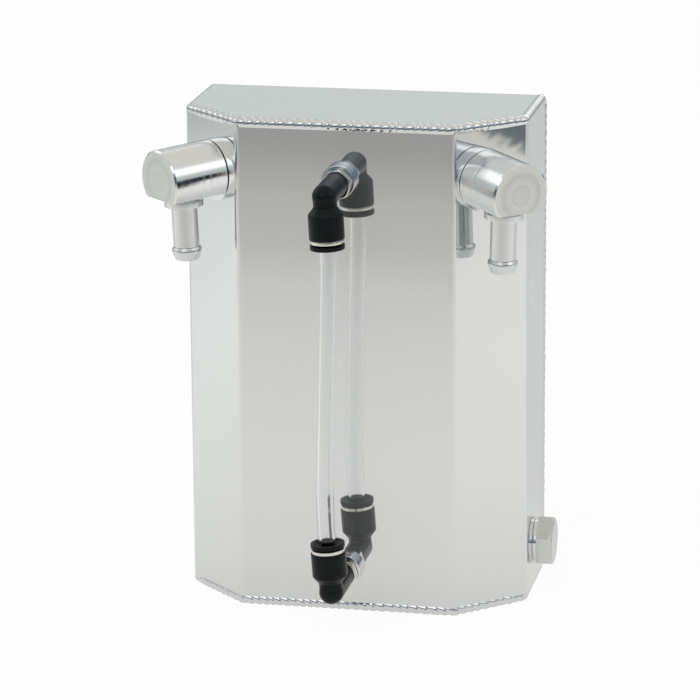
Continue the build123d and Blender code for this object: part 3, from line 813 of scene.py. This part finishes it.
def front_sheet():
    """Both sides, both chamfers and the front, folded from one strip."""
    scene = bpy.context.scene
    corners = [(x, y, PANEL_LOW.z) for x, y in wall_corners(0, PANEL_HIGH.y)]
    plan = Route(corners, [scene.can_tank.fold_radius] * 4, step=radians(3))
    bm = folded(plan.points, Vector((0, 0, PANEL_HIGH.z - PANEL_LOW.z)))
    for side in ("left", "right"):
        place = port_place(side)
        level = (place.to_3x3() @ UP) * Vector((1, 1, 0))
        cut_holes(bm, [place.translation], level.normalized(), scene.can_ports.bung_radius)
    stems = [elbow_place(level).translation for level in ("upper", "lower")]
    centres = [Vector((stem.x, FRONT, stem.z)) for stem in stems]
    cut_holes(bm, centres, Vector((0, -1, 0)), scene.can_gauge.spigot_radius)
    drain = Vector(JOINTS["drain_unscrew"]["pos_m"])
    cut_holes(bm, [drain], Vector((1, 0, 0)), scene.can_drain.hole_radius)
    thicken(bm, lambda face: face.calc_center_median() * Vector((1, 1, 0)))
    return bm


def rear_sheet():
    """Top, back and bottom, folded from one strip, its corners cut to the tank's plan."""
    tank = bpy.context.scene.can_tank
    edge = FRONT + SHEET
    width = SIDE - SHEET
    corners = [(-width, edge, 0), (-width, BACK, 0), (-width, BACK, TOP), (-width, edge, TOP)]
    section = Route(corners, [tank.fold_radius] * 2, step=radians(3))
    bm = folded(section.points, Vector((2 * width, 0, 0)))
    plan = wall_corners(SHEET, BACK)
    for (ax, ay), (bx, by) in (plan[1:3], plan[3:5]):
        along = Vector((bx - ax, by - ay, 0))
        sliced(bm, (ax, ay, 0), along.cross(UP))
    cut_holes(bm, bolt_centres(), Vector((0, 1, 0)), tank.boss_spigot_radius)
    thicken(bm, lambda face: Vector((0, 1, 0)))
    return bm


class FoldSheets(bpy.types.Operator):
    """Makes the two folded sheets of the tank"""

    bl_idname = "catch_can.fold_sheets"
    bl_label = "Folded sheets"

    def execute(self, context):
        add_piece("wrap_panel", front_sheet(), finish_of("wrap_panel"))
        add_piece("back_channel", rear_sheet(), finish_of("back_channel"))
        return {"FINISHED"}


def plate_normal(point):
    """Outward direction of the rear sheet beside a seam: up, down or back, turning at its folds."""
    bend = bpy.context.scene.can_tank.fold_radius - SHEET
    rear = BACK - SHEET - bend
    height = min(max(point.z, SHEET + bend), TOP - SHEET - bend)
    return (point - Vector((point.x, min(point.y, rear), height))).normalized()


def dressing(point):
    """How far a bead was ground down there: not at the front, mostly along the sides."""
    tank = bpy.context.scene.can_tank
    along = 1 + (abs(point.x) - SIDE + SHEET) / (2 * tank.ripple_pitch)
    return min(max(along, 0.0), 1.0) * (1.0 if point.x < 0 else RIGHT_DRESSING)


def lowered(reach, flat):
    """Flattens what a bead stands proud of the sheets."""
    return min(reach, SHEET) + flat * max(0.0, reach - SHEET)


def weld_bead(route, seed, crescent, flat, lift=0.0):
    """Rippled bead in a corner groove: a grid rolled round the groove's inner corner, ripple by ripple."""
    tank = bpy.context.scene.can_tank
    draw = random.Random(seed)
    count = round(route.length / tank.ripple_pitch)
    lengths = [draw.uniform(*RIPPLE_LENGTHS) for ripple in range(count)]
    scale = route.length / sum(lengths)
    rings = []
    start = 0.0
    for length in lengths:
        crest = draw.uniform(*RIPPLE_CRESTS)
        for step in RIPPLE_STEPS:
            rings.append((start + (step + 1) / 2 * length * scale, crest * (1 - step * step)))
        start += length * scale
    rings.append((route.length, 0.0))
    arc = 14
    inner = [(0.0, SHEET), (0.0, 0.0), (SHEET, 0.0)]
    columns = arc + len(inner) + 1
    bm = bmesh.new()
    made = bmesh.ops.create_grid(bm, x_segments=len(rings) - 1, y_segments=columns, size=1.0)
    for vert in made["verts"]:
        distance, swell = rings[round((vert.co.x + 1) / 2 * (len(rings) - 1))]
        column = round((vert.co.y + 1) / 2 * columns) % columns
        lag = (2 * min(column, arc) / arc - 1) ** 2
        radius = tank.bead_radius - tank.ripple_depth * (1 - swell - (0.5 - swell) * lag)
        radius += dressing(route.at(distance)[0]) * (tank.dressed_radius - radius)
        toe = acos(SHEET / radius)
        if column <= arc:
            angle = -toe + (pi / 2 + 2 * toe) * column / arc
            outwards, upwards = (lowered(radius * part(angle), flat) for part in (cos, sin))
        else:
            outwards, upwards = inner[column - arc - 1]
        point, heading = route.at(distance - crescent * tank.ripple_pitch * (lag - 0.5))
        plate = plate_normal(point)
        wall = heading.cross(plate)
        if wall.dot(Vector((point.x, point.y, 0))) < 0:
            wall.negate()
        if max(plate.y, -plate.z) > 0.99:
            outwards = max(outwards, 0.0)
        vert.co = point + wall * outwards + plate * upwards
        vert.co.y = min(vert.co.y, BACK)
        vert.co.z = max(vert.co.z, lift * max(0.0, 1 - swell))
    return closed(bm, near=1e-6, fill=True)


class RunWelds(bpy.types.Operator):
    """Runs the rippled weld beads along the tank's corner grooves"""

    bl_idname = "catch_can.run_welds"
    bl_label = "Weld beads"

    def execute(self, context):
        tank = context.scene.can_tank
        bend = tank.fold_radius - SHEET
        end_bend = 0.999 * bend  # leaves the route a short straight run at each end
        rear = BACK - SHEET
        levels = {
            "top": (TOP - SHEET, -1, {"crescent": 0.25, "flat": 0.85}),
            "bottom": (SHEET, 1, {"crescent": 0.6, "flat": 0.65, "lift": tank.dressed_lift}),
        }
        for seed, (name, (height, inwards, looks)) in enumerate(levels.items()):
            plan = [(x, y, height) for x, y in wall_corners(SHEET, rear)]
            ends = [(x, y, height + inwards * bend) for x, y, z in (plan[0], plan[-1])]
            route = Route([ends[0], *plan, ends[1]], [end_bend, *[bend] * 4, end_bend])
            add_piece(f"{name}_weld", weld_bead(route, seed, **looks), finish_of("top_weld"))
        for seed, (name, side) in enumerate((("left", -1), ("right", 1)), start=len(levels)):
            x = side * (SIDE - SHEET)
            route = Route([(x, rear, tank.fold_radius), (x, rear, TOP - tank.fold_radius)], [])
            bead = weld_bead(route, seed, crescent=0.3, flat=1.3)
            add_piece(f"rear_weld_{name}", bead, finish_of("top_weld"))
        return {"FINISHED"}


class FitBosses(bpy.types.Operator):
    """Makes the tapped bosses that show in the back"""

    bl_idname = "catch_can.fit_bosses"
    bl_label = "Mounting bosses"

    def execute(self, context):
        tank = context.scene.can_tank
        hole = MOUNTS["rear_bolts"]["dims"]["hole_r_mm"] * MM
        root = hole + BOSS_TOOTH
        bottom = tank.boss_hole_depth
        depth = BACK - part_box("mounting_bosses")[0].y
        walls = [(0, root), (BOSS_TOOTH, hole)]
        for index in range(1, round(bottom / BOSS_PITCH)):
            walls += [(index * BOSS_PITCH, hole), ((index + 0.5) * BOSS_PITCH, root)]
        walls += [(bottom, hole), (bottom, 0)]
        profile = [
            *reversed(walls), (0, tank.boss_spigot_radius), (SHEET, tank.boss_spigot_radius),
            (SHEET, tank.boss_radius), (depth, tank.boss_radius), (depth, 0),
        ]
        bm = bmesh.new()
        for centre in bolt_centres():
            absorb(bm, spun(profile, steps=64), carried(centre, (0, -1, 0)))
        add_piece("mounting_bosses", bm, finish_of("mounting_bosses"))
        return {"FINISHED"}


def head_shape(ports):
    """Closed head with its spigot, a milled flat and softly broken edges, along local Z."""
    start = ports.flange + ports.gap
    end = start + ports.head_length
    tail = -ports.bung_reach - SPIGOT_TAIL
    profile = [
        (tail, 0), (tail, ports.spigot_radius), (start, ports.spigot_radius), (start, ports.head_radius),
        (end - ports.head_edge, ports.head_radius), (end, ports.head_radius - ports.head_edge), (end, 0),
    ]
    part = spun(profile, steps=128)
    head = [face for face in part.faces if face.calc_center_median().z > start - 1e-6]
    geometry = list({vert for face in head for vert in face.verts})
    geometry += list({edge for face in head for edge in face.edges}) + head
    rim = sliced(part, (0, -ports.flat_drop, 0), (0, -1, 0), geometry)
    bmesh.ops.holes_fill(part, edges=rim)
    soften(part, SOFT_EDGE, sharpest=radians(50))
    for face in part.faces:
        face.material_index = int(face.normal.z > 0.99 and face.calc_center_median().z > end - 1e-6)
    return part


def barb_shape(ports):
    """Barb along local Z from the head's axis: neck, collar, stem, bead and tapered tip, bored through."""
    neck = ports.flat_drop + ports.neck
    collar = neck + ports.collar
    profile = [
        (ports.flat_drop, ports.bore_radius), (ports.flat_drop, ports.neck_radius),
        (neck, ports.neck_radius), (neck, ports.collar_radius), (collar, ports.collar_radius),
        (collar, ports.stem_radius), (ports.bead_drop - BEAD_SHOULDER, ports.stem_radius),
        (ports.bead_drop, ports.bead_radius), (ports.bead_drop + ports.bead_land, ports.bead_radius),
        (ports.tip_drop, ports.tip_radius), (ports.tip_drop, ports.bore_radius),
        (ports.flat_drop, ports.bore_radius),
    ]
    return soften(spun(profile), BROKEN_EDGE, sharpest=radians(18))


class FitPorts(bpy.types.Operator):
    """Makes the bush, washer, head and barb of each hose port"""

    bl_idname = "catch_can.fit_ports"
    bl_label = "Hose ports"

    def execute(self, context):
        ports = context.scene.can_ports
        bore = ports.spigot_radius
        face = ports.flange + ports.gap
        profile = [
            (-ports.bung_reach, bore), (-ports.bung_reach, ports.bung_radius),
            (-ports.foot, ports.bung_radius), (-ports.foot, ports.head_radius),
            (ports.flange, ports.head_radius), (ports.flange, bore), (-ports.bung_reach, bore),
        ]
        satin = {"rings": 4200.0, "depth": 0.007, "roughness": 0.20, "shade": 0.92, "uneven": (0.95, 1.1)}
        for side in ("left", "right"):
            place = port_place(side)
            metal = turned_metal(f"Turned port {side}", place)
            bung = soften(spun(profile, steps=128), BROKEN_EDGE)
            add_piece(f"port_bung_{side}", placed(bung, place), metal)
            washer = washer_shape(ports.flange, face, bore, ports.washer_radius, WASHER_EDGE)
            add_piece(f"thrust_washer_{side}", placed(washer, place), finish_of(f"thrust_washer_{side}"))
            faced = faced_metal(f"Faced end {side}", place)
            add_piece(f"swivel_head_{side}", placed(head_shape(ports), place), metal, faced)
            middle = place @ Vector((0, 0, face + ports.barb_set))
            turned = place.to_3x3()
            barb_place = carried(middle, turned @ Vector((0, -1, 0)), across=turned @ UP)
            barb_metal = turned_metal(f"Turned barb {side}", barb_place, **satin)
            add_piece(f"hose_barb_{side}", placed(barb_shape(ports), barb_place), barb_metal)
        return {"FINISHED"}


def elbow_shape(gauge):
    """Socket along local Z, barrel along local Y and a ball at their corner, still to be grown together."""
    shoulder = gauge.neck + gauge.shoulder
    mouth = shoulder + gauge.socket
    pocket = gauge.socket_radius - gauge.socket_wall
    barrel = gauge.reach - gauge.boss_rise - gauge.relief - gauge.hexagon_length
    socket = [
        (0, 0), (0, gauge.neck_radius), (gauge.neck, gauge.neck_radius), (shoulder, gauge.socket_radius),
        (mouth, gauge.socket_radius), (mouth, pocket), (gauge.pocket_start, pocket), (gauge.pocket_start, 0),
    ]
    arm = [(0, 0), (0, gauge.barrel_radius), (barrel, gauge.barrel_radius), (barrel, 0)]
    bm = bmesh.new()
    absorb(bm, spun(socket, steps=64))
    absorb(bm, spun(arm, steps=64), carried((0, 0, 0), (0, 1, 0)))
    ball = bmesh.new()
    bmesh.ops.create_uvsphere(ball, u_segments=48, v_segments=24, radius=gauge.barrel_radius)
    absorb(bm, ball)
    return bm


def grown_together(bm, voxel, rounds):
    """Fuses overlapping shapes into one skin and smooths their joints."""
    mesh = bpy.data.meshes.new("fused")
    bm.to_mesh(mesh)
    bm.free()
    body = bpy.data.objects.new("fused", mesh)
    bpy.context.scene.collection.objects.link(body)
    remesh = body.modifiers.new("Fuse", "REMESH")
    remesh.mode = "VOXEL"
    remesh.voxel_size = voxel
    skin = bpy.data.meshes.new_from_object(body.evaluated_get(bpy.context.evaluated_depsgraph_get()))
    bpy.data.objects.remove(body)
    fused = bmesh.new()
    fused.from_mesh(skin)
    for step in range(rounds):
        bmesh.ops.smooth_vert(
            fused, verts=fused.verts, factor=0.5, use_axis_x=True, use_axis_y=True, use_axis_z=True
        )
    bpy.data.meshes.remove(mesh)
    bpy.data.meshes.remove(skin)
    return fused


def stem_shape(gauge, rest):
    """Stem along local Z, out of the tank from the face of its boss: thread, relief groove and hexagon."""
    bm = bmesh.new()
    thread = threaded(gauge.thread_radius, STEM_PITCH, gauge.thread, STEM_TOOTH)
    absorb(bm, thread, Matrix.Translation((0, 0, -gauge.thread)))
    groove = [
        (-STEM_SEAT, 0), (-STEM_SEAT, gauge.relief_radius), (gauge.relief, gauge.relief_radius),
        (gauge.relief, 0),
    ]
    absorb(bm, spun(groove, steps=72))
    top = gauge.relief + gauge.hexagon_length
    absorb(bm, hexagon(gauge.hexagon, gauge.relief, top, STEM_BEVEL, STEM_BEVEL, start=rest))
    return bm


def gauge_boss_shape(gauge):
    """Round boss along local Z, out of the tank from the front of the sheet, its edges broken."""
    bore = gauge.thread_radius
    profile = [
        (-gauge.spigot, bore), (-gauge.spigot, gauge.spigot_radius), (0, gauge.spigot_radius),
        (0, gauge.boss_radius), (gauge.boss_rise, gauge.boss_radius), (gauge.boss_rise, bore),
        (-gauge.spigot, bore),
    ]
    return soften(spun(profile), SOFT_EDGE)


def collar_shape(gauge, low):
    """Release collar along local Z: a flange with a dished face, and a sleeve into the elbow."""
    bore = gauge.tube_radius + gauge.tube_room
    high = low + gauge.collar
    foot = low - 2 * gauge.collar
    sleeve = bore + COLLAR_SLEEVE
    dish = high - gauge.collar_dish
    profile = [
        (foot, bore), (foot, sleeve), (low, sleeve), (low, gauge.collar_radius),
        (high, gauge.collar_radius), (high, gauge.collar_radius - COLLAR_RIM), (dish, bore + COLLAR_LIP),
        (dish, bore), (foot, bore),
    ]
    return soften(spun(profile), SOFT_EDGE)


class FitGauge(bpy.types.Operator):
    """Makes the boss, stem, elbow, ring and release collar at each end of the sight tube"""

    bl_idname = "catch_can.fit_gauge"
    bl_label = "Gauge fittings"

    def execute(self, context):
        gauge = context.scene.can_gauge
        mouth = gauge.neck + gauge.shoulder + gauge.socket
        top = mouth + gauge.ring
        bore = gauge.tube_radius + gauge.tube_room + RING_WALL
        rim = gauge.socket_radius - gauge.ring_inset
        for level, rest in (("upper", gauge.upper_turn), ("lower", gauge.lower_turn)):
            place = elbow_place(level)
            foot = carried(Vector((place.translation.x, FRONT, place.translation.z)), (0, -1, 0))
            boss = placed(gauge_boss_shape(gauge), foot)
            add_piece(f"gauge_boss_{level}", boss, turned_metal(f"Turned boss {level}", foot))
            seat = foot @ Matrix.Translation((0, 0, gauge.boss_rise))
            stem = placed(stem_shape(gauge, rest), seat)
            add_piece(f"elbow_stem_{level}", stem, finish_of(f"elbow_stem_{level}"))
            body = grown_together(elbow_shape(gauge), ELBOW_VOXEL, 4)
            bmesh.ops.transform(body, matrix=place, verts=body.verts)
            add_piece(f"elbow_body_{level}", body, finish_of(f"elbow_body_{level}"), crease=radians(60))
            ring = placed(washer_shape(mouth, top, bore, rim, BROKEN_EDGE), place)
            add_piece(f"elbow_ring_{level}", ring, finish_of(f"elbow_ring_{level}"))
            collar = placed(collar_shape(gauge, top + gauge.collar_gap), place)
            add_piece(f"release_collar_{level}", collar, finish_of(f"release_collar_{level}"))
        return {"FINISHED"}


class FitTube(bpy.types.Operator):
    """Draws the clear sight tube along its bowed route"""

    bl_idname = "catch_can.fit_tube"
    bl_label = "Sight tube"

    def execute(self, context):
        gauge = context.scene.can_gauge
        low, high = elbow_place("lower"), elbow_place("upper")
        corners = [
            low @ Vector((0, 0, gauge.tube_stop)), low @ Vector((0, 0, gauge.bow_start)),
            high @ Vector((0, 0, gauge.bow_end)), high @ Vector((0, 0, gauge.tube_stop)),
        ]
        runs = [there - here for here, there in zip(corners, corners[1:])]
        bends = [before.angle(after) for before, after in zip(runs, runs[1:])]
        radii = [half / tan(bend / 2) for half, bend in zip((gauge.bow_low, gauge.bow_high), bends)]
        route = Route(corners, radii)
        rings, sides = 80, 64
        bm = bmesh.new()
        made = bmesh.ops.create_grid(bm, x_segments=rings, y_segments=sides, size=1.0)
        for vert in made["verts"]:
            point, heading = route.at((vert.co.x + 1) / 2 * route.length)
            angle = (vert.co.y + 1) * pi
            offset = Vector((gauge.tube_radius * cos(angle), gauge.tube_radius * sin(angle), 0))
            vert.co = carried(point, heading, across=Vector((0, 1, 0))) @ offset
        bmesh.ops.remove_doubles(bm, verts=bm.verts, dist=1e-6)
        bmesh.ops.recalc_face_normals(bm, faces=bm.faces)
        probe = bm.faces[0]
        if probe.normal.dot(probe.calc_center_median() - route.at(0)[0]) < 0:
            bmesh.ops.reverse_faces(bm, faces=bm.faces)
        bmesh.ops.solidify(bm, geom=bm.faces[:], thickness=gauge.tube_wall)
        bmesh.ops.recalc_face_normals(bm, faces=bm.faces)
        add_piece("sight_tube", bm, finish_of("sight_tube"))
        return {"FINISHED"}


class FitDrain(bpy.types.Operator):
    """Makes the hexagon drain plug and its sealing washer"""

    bl_idname = "catch_can.fit_drain"
    bl_label = "Drain plug"

    def execute(self, context):
        drain = context.scene.can_drain
        joint = JOINTS["drain_unscrew"]
        place = carried(Vector(joint["pos_m"]), Vector(joint["axis"]))
        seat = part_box("drain_washer")[1].x - place.translation.x
        thread = place.translation.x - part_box("drain_plug")[0].x + seat
        head = hexagon(drain.hexagon, seat, seat + drain.head, bevel=drain.bevel, start=drain.rest_turn)
        plug = placed(soften(head, PLUG_EDGE), place)
        screw = threaded(drain.thread_radius, drain.pitch, thread, PLUG_TOOTH)
        absorb(plug, screw, place @ Matrix.Translation((0, 0, seat - thread)))
        add_piece("drain_plug", plug, finish_of("drain_plug"))
        washer = washer_shape(0, seat, drain.hole_radius, drain.washer_radius, BROKEN_EDGE)
        add_piece("drain_washer", placed(washer, place), turned_metal("Turned washer", place))
        return {"FINISHED"}


class FinishInside(bpy.types.Operator):
    """Gives each CAD node its finish, which shows where no finished piece stands for the node"""

    bl_idname = "catch_can.finish_inside"
    bl_label = "Inner pieces"

    def execute(self, context):
        for name, node in frame["nodes"].items():
            node.data.materials.clear()
            node.data.materials.append(finish_of(name))
        return {"FINISHED"}


def ramp(tree, value, stops):
    """Colour that changes along a value, from (value, red, green, blue) stops."""
    first, last = stops[0][0], stops[-1][0]
    node = put(tree, "ShaderNodeValToRGB", {0: spread(tree, value, 0.0, 1.0, first, last)})
    elements = node.color_ramp.elements
    for index, (mark, *tone) in enumerate(stops):
        if 0 < index < len(stops) - 1:
            element = elements.new((mark - first) / (last - first))
        else:
            element = elements[0 if index == 0 else -1]
        element.color = opaque(tone)
    return node.outputs[0]


def studio_world(stage):
    """White behind the can; its metal sees a pale room with a dark gap low in front of a bright screen."""
    world = bpy.data.worlds.new("Studio")
    bpy.context.scene.world = world
    world.use_nodes = True
    tree = world.node_tree
    tree.nodes.clear()
    direction = put(tree, "ShaderNodeTexCoord").outputs["Generated"]
    x, y, z = put(tree, "ShaderNodeSeparateXYZ", {0: direction}).outputs
    front = ramp(tree, z, (
        (-0.12, *GAP), (0.12, *GAP), (0.20, 0.36, 0.41, 0.46), (0.62, 0.46, 0.49, 0.51),
        (0.72, *CEILING_EDGE), (1.0, *CEILING),
    ))
    back = ramp(tree, z, (
        (-0.05, *WALL), (-0.03, *HORIZON), (0.04, *HORIZON), (0.10, *WALL), (0.27, 0.62, 0.665, 0.65),
        (0.62, 0.60, 0.63, 0.63), (0.72, *CEILING_EDGE), (1.0, *CEILING),
    ))
    toward = {0: direction, 1: SCREEN_SIDE}
    ahead = put(tree, "ShaderNodeVectorMath", toward, operation="DOT_PRODUCT").outputs["Value"]
    room = mixed(tree, spread(tree, ahead, 0.0, 1.0, 0.3, 0.8), back, front)
    bearing = calc(tree, "ARCTAN2", x, calc(tree, "MULTIPLY", y, -1.0))
    wave = calc(tree, "COSINE", calc(tree, "MULTIPLY_ADD", bearing, PANEL_COUNT, PANEL_TURN))
    panels = spread(tree, wave, 0.0, 1.0, -0.1, 0.4)
    band = ramp(tree, z, ((0.28, *BLACK), (0.36, *WHITE), (0.60, *WHITE), (0.68, *BLACK)))
    room = mixed(tree, calc(tree, "MULTIPLY", panels, band), room, opaque([stage.panel] * 3))
    around = put(tree, "ShaderNodeBackground", {"Color": room, "Strength": stage.sky})
    behind = put(tree, "ShaderNodeBackground", {"Color": opaque(WHITE), "Strength": 1.0})
    to_camera = put(tree, "ShaderNodeLightPath").outputs["Is Camera Ray"]
    seen = put(tree, "ShaderNodeMixShader", {0: to_camera, 1: around.outputs[0], 2: behind.outputs[0]})
    put(tree, "ShaderNodeOutputWorld", {"Surface": seen.outputs[0]})


def floor_finish():
    """Pale floor: white to the camera; to the metal it glows with painted reflection tones, paler and darker,
    with a painted shadow round the can's foot, and its lit share keeps the can's own soft shadow.
    """
    material = bpy.data.materials.new("Studio floor")
    material.use_nodes = True
    tree = material.node_tree
    tree.nodes.clear()
    path = put(tree, "ShaderNodeLightPath").outputs
    place = put(tree, "ShaderNodeTexCoord").outputs["Object"]
    x, y, z = put(tree, "ShaderNodeSeparateXYZ", {0: place}).outputs
    # Painted reflection: tones that the floor glows with towards the metal, dark far in front, brightest near
    # the can, greyer behind
    along = ramp(tree, y, (
        (-1.50, *GAP), (-0.95, 0.36, 0.35, 0.33), (-0.80, 0.52, 0.505, 0.48), (-0.69, 0.56, 0.55, 0.53),
        (-0.59, 0.70, 0.695, 0.67), (-0.53, 0.735, 0.73, 0.71), (-0.42, 0.79, 0.79, 0.76),
        (-0.25, 0.87, 0.87, 0.84), (-0.10, 0.93, 0.93, 0.91), (0.05, 0.92, 0.93, 0.91),
        (0.15, 0.76, 0.78, 0.77), (0.25, 0.70, 0.72, 0.71), (0.70, 0.63, 0.665, 0.65), (1.50, *WALL),
    ))
    # Painted shadow: the glowing tone darkens towards the can's foot, where the can's shadow falls
    distance = put(tree, "ShaderNodeVectorMath", {0: place}, operation="LENGTH").outputs["Value"]
    near = ramp(tree, distance, (
        (0.05, 0.78, 0.78, 0.77), (0.12, 0.86, 0.86, 0.86), (0.25, 0.94, 0.94, 0.94), (0.50, *WHITE),
    ))
    # Painted reflection: darker far out to the left and a little darker far to the right
    across = ramp(tree, x, (
        (-1.08, 0.64, 0.66, 0.65), (-0.96, 0.84, 0.86, 0.85), (-0.84, *WHITE), (0.86, *WHITE),
        (1.0, 0.80, 0.78, 0.75),
    ))
    tone = mixed(tree, 1.0, mixed(tree, 1.0, along, near, "MULTIPLY"), across, "MULTIPLY")
    # Painted dark patch: a ragged dark edge far to the right of the floor, for the metal to mirror
    streaks = put(tree, "ShaderNodeMapping", {"Vector": place, "Scale": (20.0, 160.0, 1.0)}).outputs[0]
    apart = calc(tree, "ABSOLUTE", calc(tree, "ADD", y, -PAINTED_EDGE_MIDDLE))
    slant = calc(tree, "MULTIPLY_ADD", apart, PAINTED_EDGE_SLANT, x)
    reach = calc(tree, "MULTIPLY_ADD", noise(tree, streaks, 1.0, 3.0), PAINTED_EDGE_RAGGED, slant)
    edge = spread(tree, reach, 0.0, 1.0, PAINTED_EDGE_START, PAINTED_EDGE_END)
    tone = mixed(tree, edge, tone, opaque(PAINTED_DARK_EDGE))
    tone = mixed(tree, path["Is Camera Ray"], tone, opaque(WHITE))
    lit = put(tree, "ShaderNodeBsdfDiffuse", {"Color": opaque(FLOOR_GREY)})
    # Glows white to the camera, and with the painted reflection tones to the metal and the tube
    white = put(tree, "ShaderNodeEmission", {"Color": tone, "Strength": 1.0})
    seen = calc(tree, "MAXIMUM", path["Is Camera Ray"], path["Is Glossy Ray"])
    seen = calc(tree, "MAXIMUM", seen, path["Is Transmission Ray"])
    weight = calc(tree, "MULTIPLY", seen, FLOOR_SHOWN)
    surface = put(tree, "ShaderNodeMixShader", {0: weight, 1: lit.outputs[0], 2: white.outputs[0]})
    put(tree, "ShaderNodeOutputMaterial", {"Surface": surface.outputs[0]})
    return material


def softbox(name, place, aim, width, height, power):
    """Large soft lamp that looks at a point."""
    lamp = bpy.data.lights.new(name, "AREA")
    lamp.shape = "RECTANGLE"
    lamp.size, lamp.size_y = width, height
    lamp.energy = power
    box = bpy.data.objects.new(name, lamp)
    box.location = place
    box.visible_glossy = False
    box.rotation_mode = "QUATERNION"
    box.rotation_quaternion = (Vector(aim) - Vector(place)).to_track_quat("-Z", "Y")
    bpy.context.scene.collection.objects.link(box)


class SetStage(bpy.types.Operator):
    """Sets the floor, the soft light and the camera"""

    bl_idname = "catch_can.set_stage"
    bl_label = "Studio and camera"

    def execute(self, context):
        scene = context.scene
        stage = scene.can_stage
        scene.view_settings.view_transform = "Standard"
        studio_world(stage)
        bm = bmesh.new()
        bmesh.ops.create_grid(bm, x_segments=1, y_segments=1, size=stage.floor_size / 2)
        mesh = bpy.data.meshes.new("floor")
        bm.to_mesh(mesh)
        bm.free()
        mesh.materials.append(floor_finish())
        floor = bpy.data.objects.new("floor", mesh)
        scene.collection.objects.link(floor)
        middle = Vector((0, 0, TOP / 2))
        softbox("key_softbox", (-0.7, -1.3, 1.9), middle, width=1.6, height=1.1, power=stage.key_power)
        softbox("fill_softbox", (1.7, -0.9, 1.3), middle, width=0.9, height=1.1, power=stage.fill_power)
        camera = bpy.data.cameras.new("camera")
        camera.lens = stage.lens
        camera.sensor_width = 36.0
        camera.clip_end = 50.0
        holder = bpy.data.objects.new("camera", camera)
        scene.collection.objects.link(holder)
        azimuth, elevation = stage.azimuth, stage.elevation
        away = Vector((sin(azimuth) * cos(elevation), -cos(azimuth) * cos(elevation), sin(elevation)))
        right = Vector((cos(azimuth), sin(azimuth), 0))
        level = Matrix((right, away.cross(right), away)).transposed()
        turned = level @ Matrix.Rotation(stage.roll, 3, "Z")
        aim = Vector((stage.aim_side, 0, stage.aim_height))
        holder.matrix_world = Matrix.Translation(aim + away * stage.distance) @ turned.to_4x4()
        scene.camera = holder
        return {"FINISHED"}


class CanPanel(bpy.types.Panel):
    """Lists the steps that dress the can"""

    bl_idname = "CATCH_CAN_PT_steps"
    bl_label = "Catch can"
    bl_space_type = "VIEW_3D"
    bl_region_type = "UI"
    bl_category = "Catch can"

    def draw(self, context):
        for step in STEPS:
            self.layout.operator(step.bl_idname)
        for name, settings in SETTINGS.items():
            self.layout.label(text=settings.__doc__)
            for prop in settings.__annotations__:
                self.layout.prop(getattr(context.scene, name), prop)


STEPS = (FinishInside, FoldSheets, RunWelds, FitBosses, FitPorts, FitGauge, FitTube, FitDrain, SetStage)


def register():
    for settings in SETTINGS.values():
        bpy.utils.register_class(settings)
    for name, settings in SETTINGS.items():
        setattr(bpy.types.Scene, name, bpy.props.PointerProperty(type=settings))
    for step in (*STEPS, CanPanel):
        bpy.utils.register_class(step)


def unregister():
    for step in reversed((*STEPS, CanPanel)):
        bpy.utils.unregister_class(step)
    for name, settings in SETTINGS.items():
        delattr(bpy.types.Scene, name)
        bpy.utils.unregister_class(settings)


def main():
    register()
    bpy.ops.catch_can.finish_inside()
    bpy.ops.catch_can.fold_sheets()
    bpy.ops.catch_can.run_welds()
    bpy.ops.catch_can.fit_bosses()
    bpy.ops.catch_can.fit_ports()
    bpy.ops.catch_can.fit_gauge()
    bpy.ops.catch_can.fit_tube()
    bpy.ops.catch_can.fit_drain()
    bpy.ops.catch_can.set_stage()


if __name__ == "__main__":
    main()
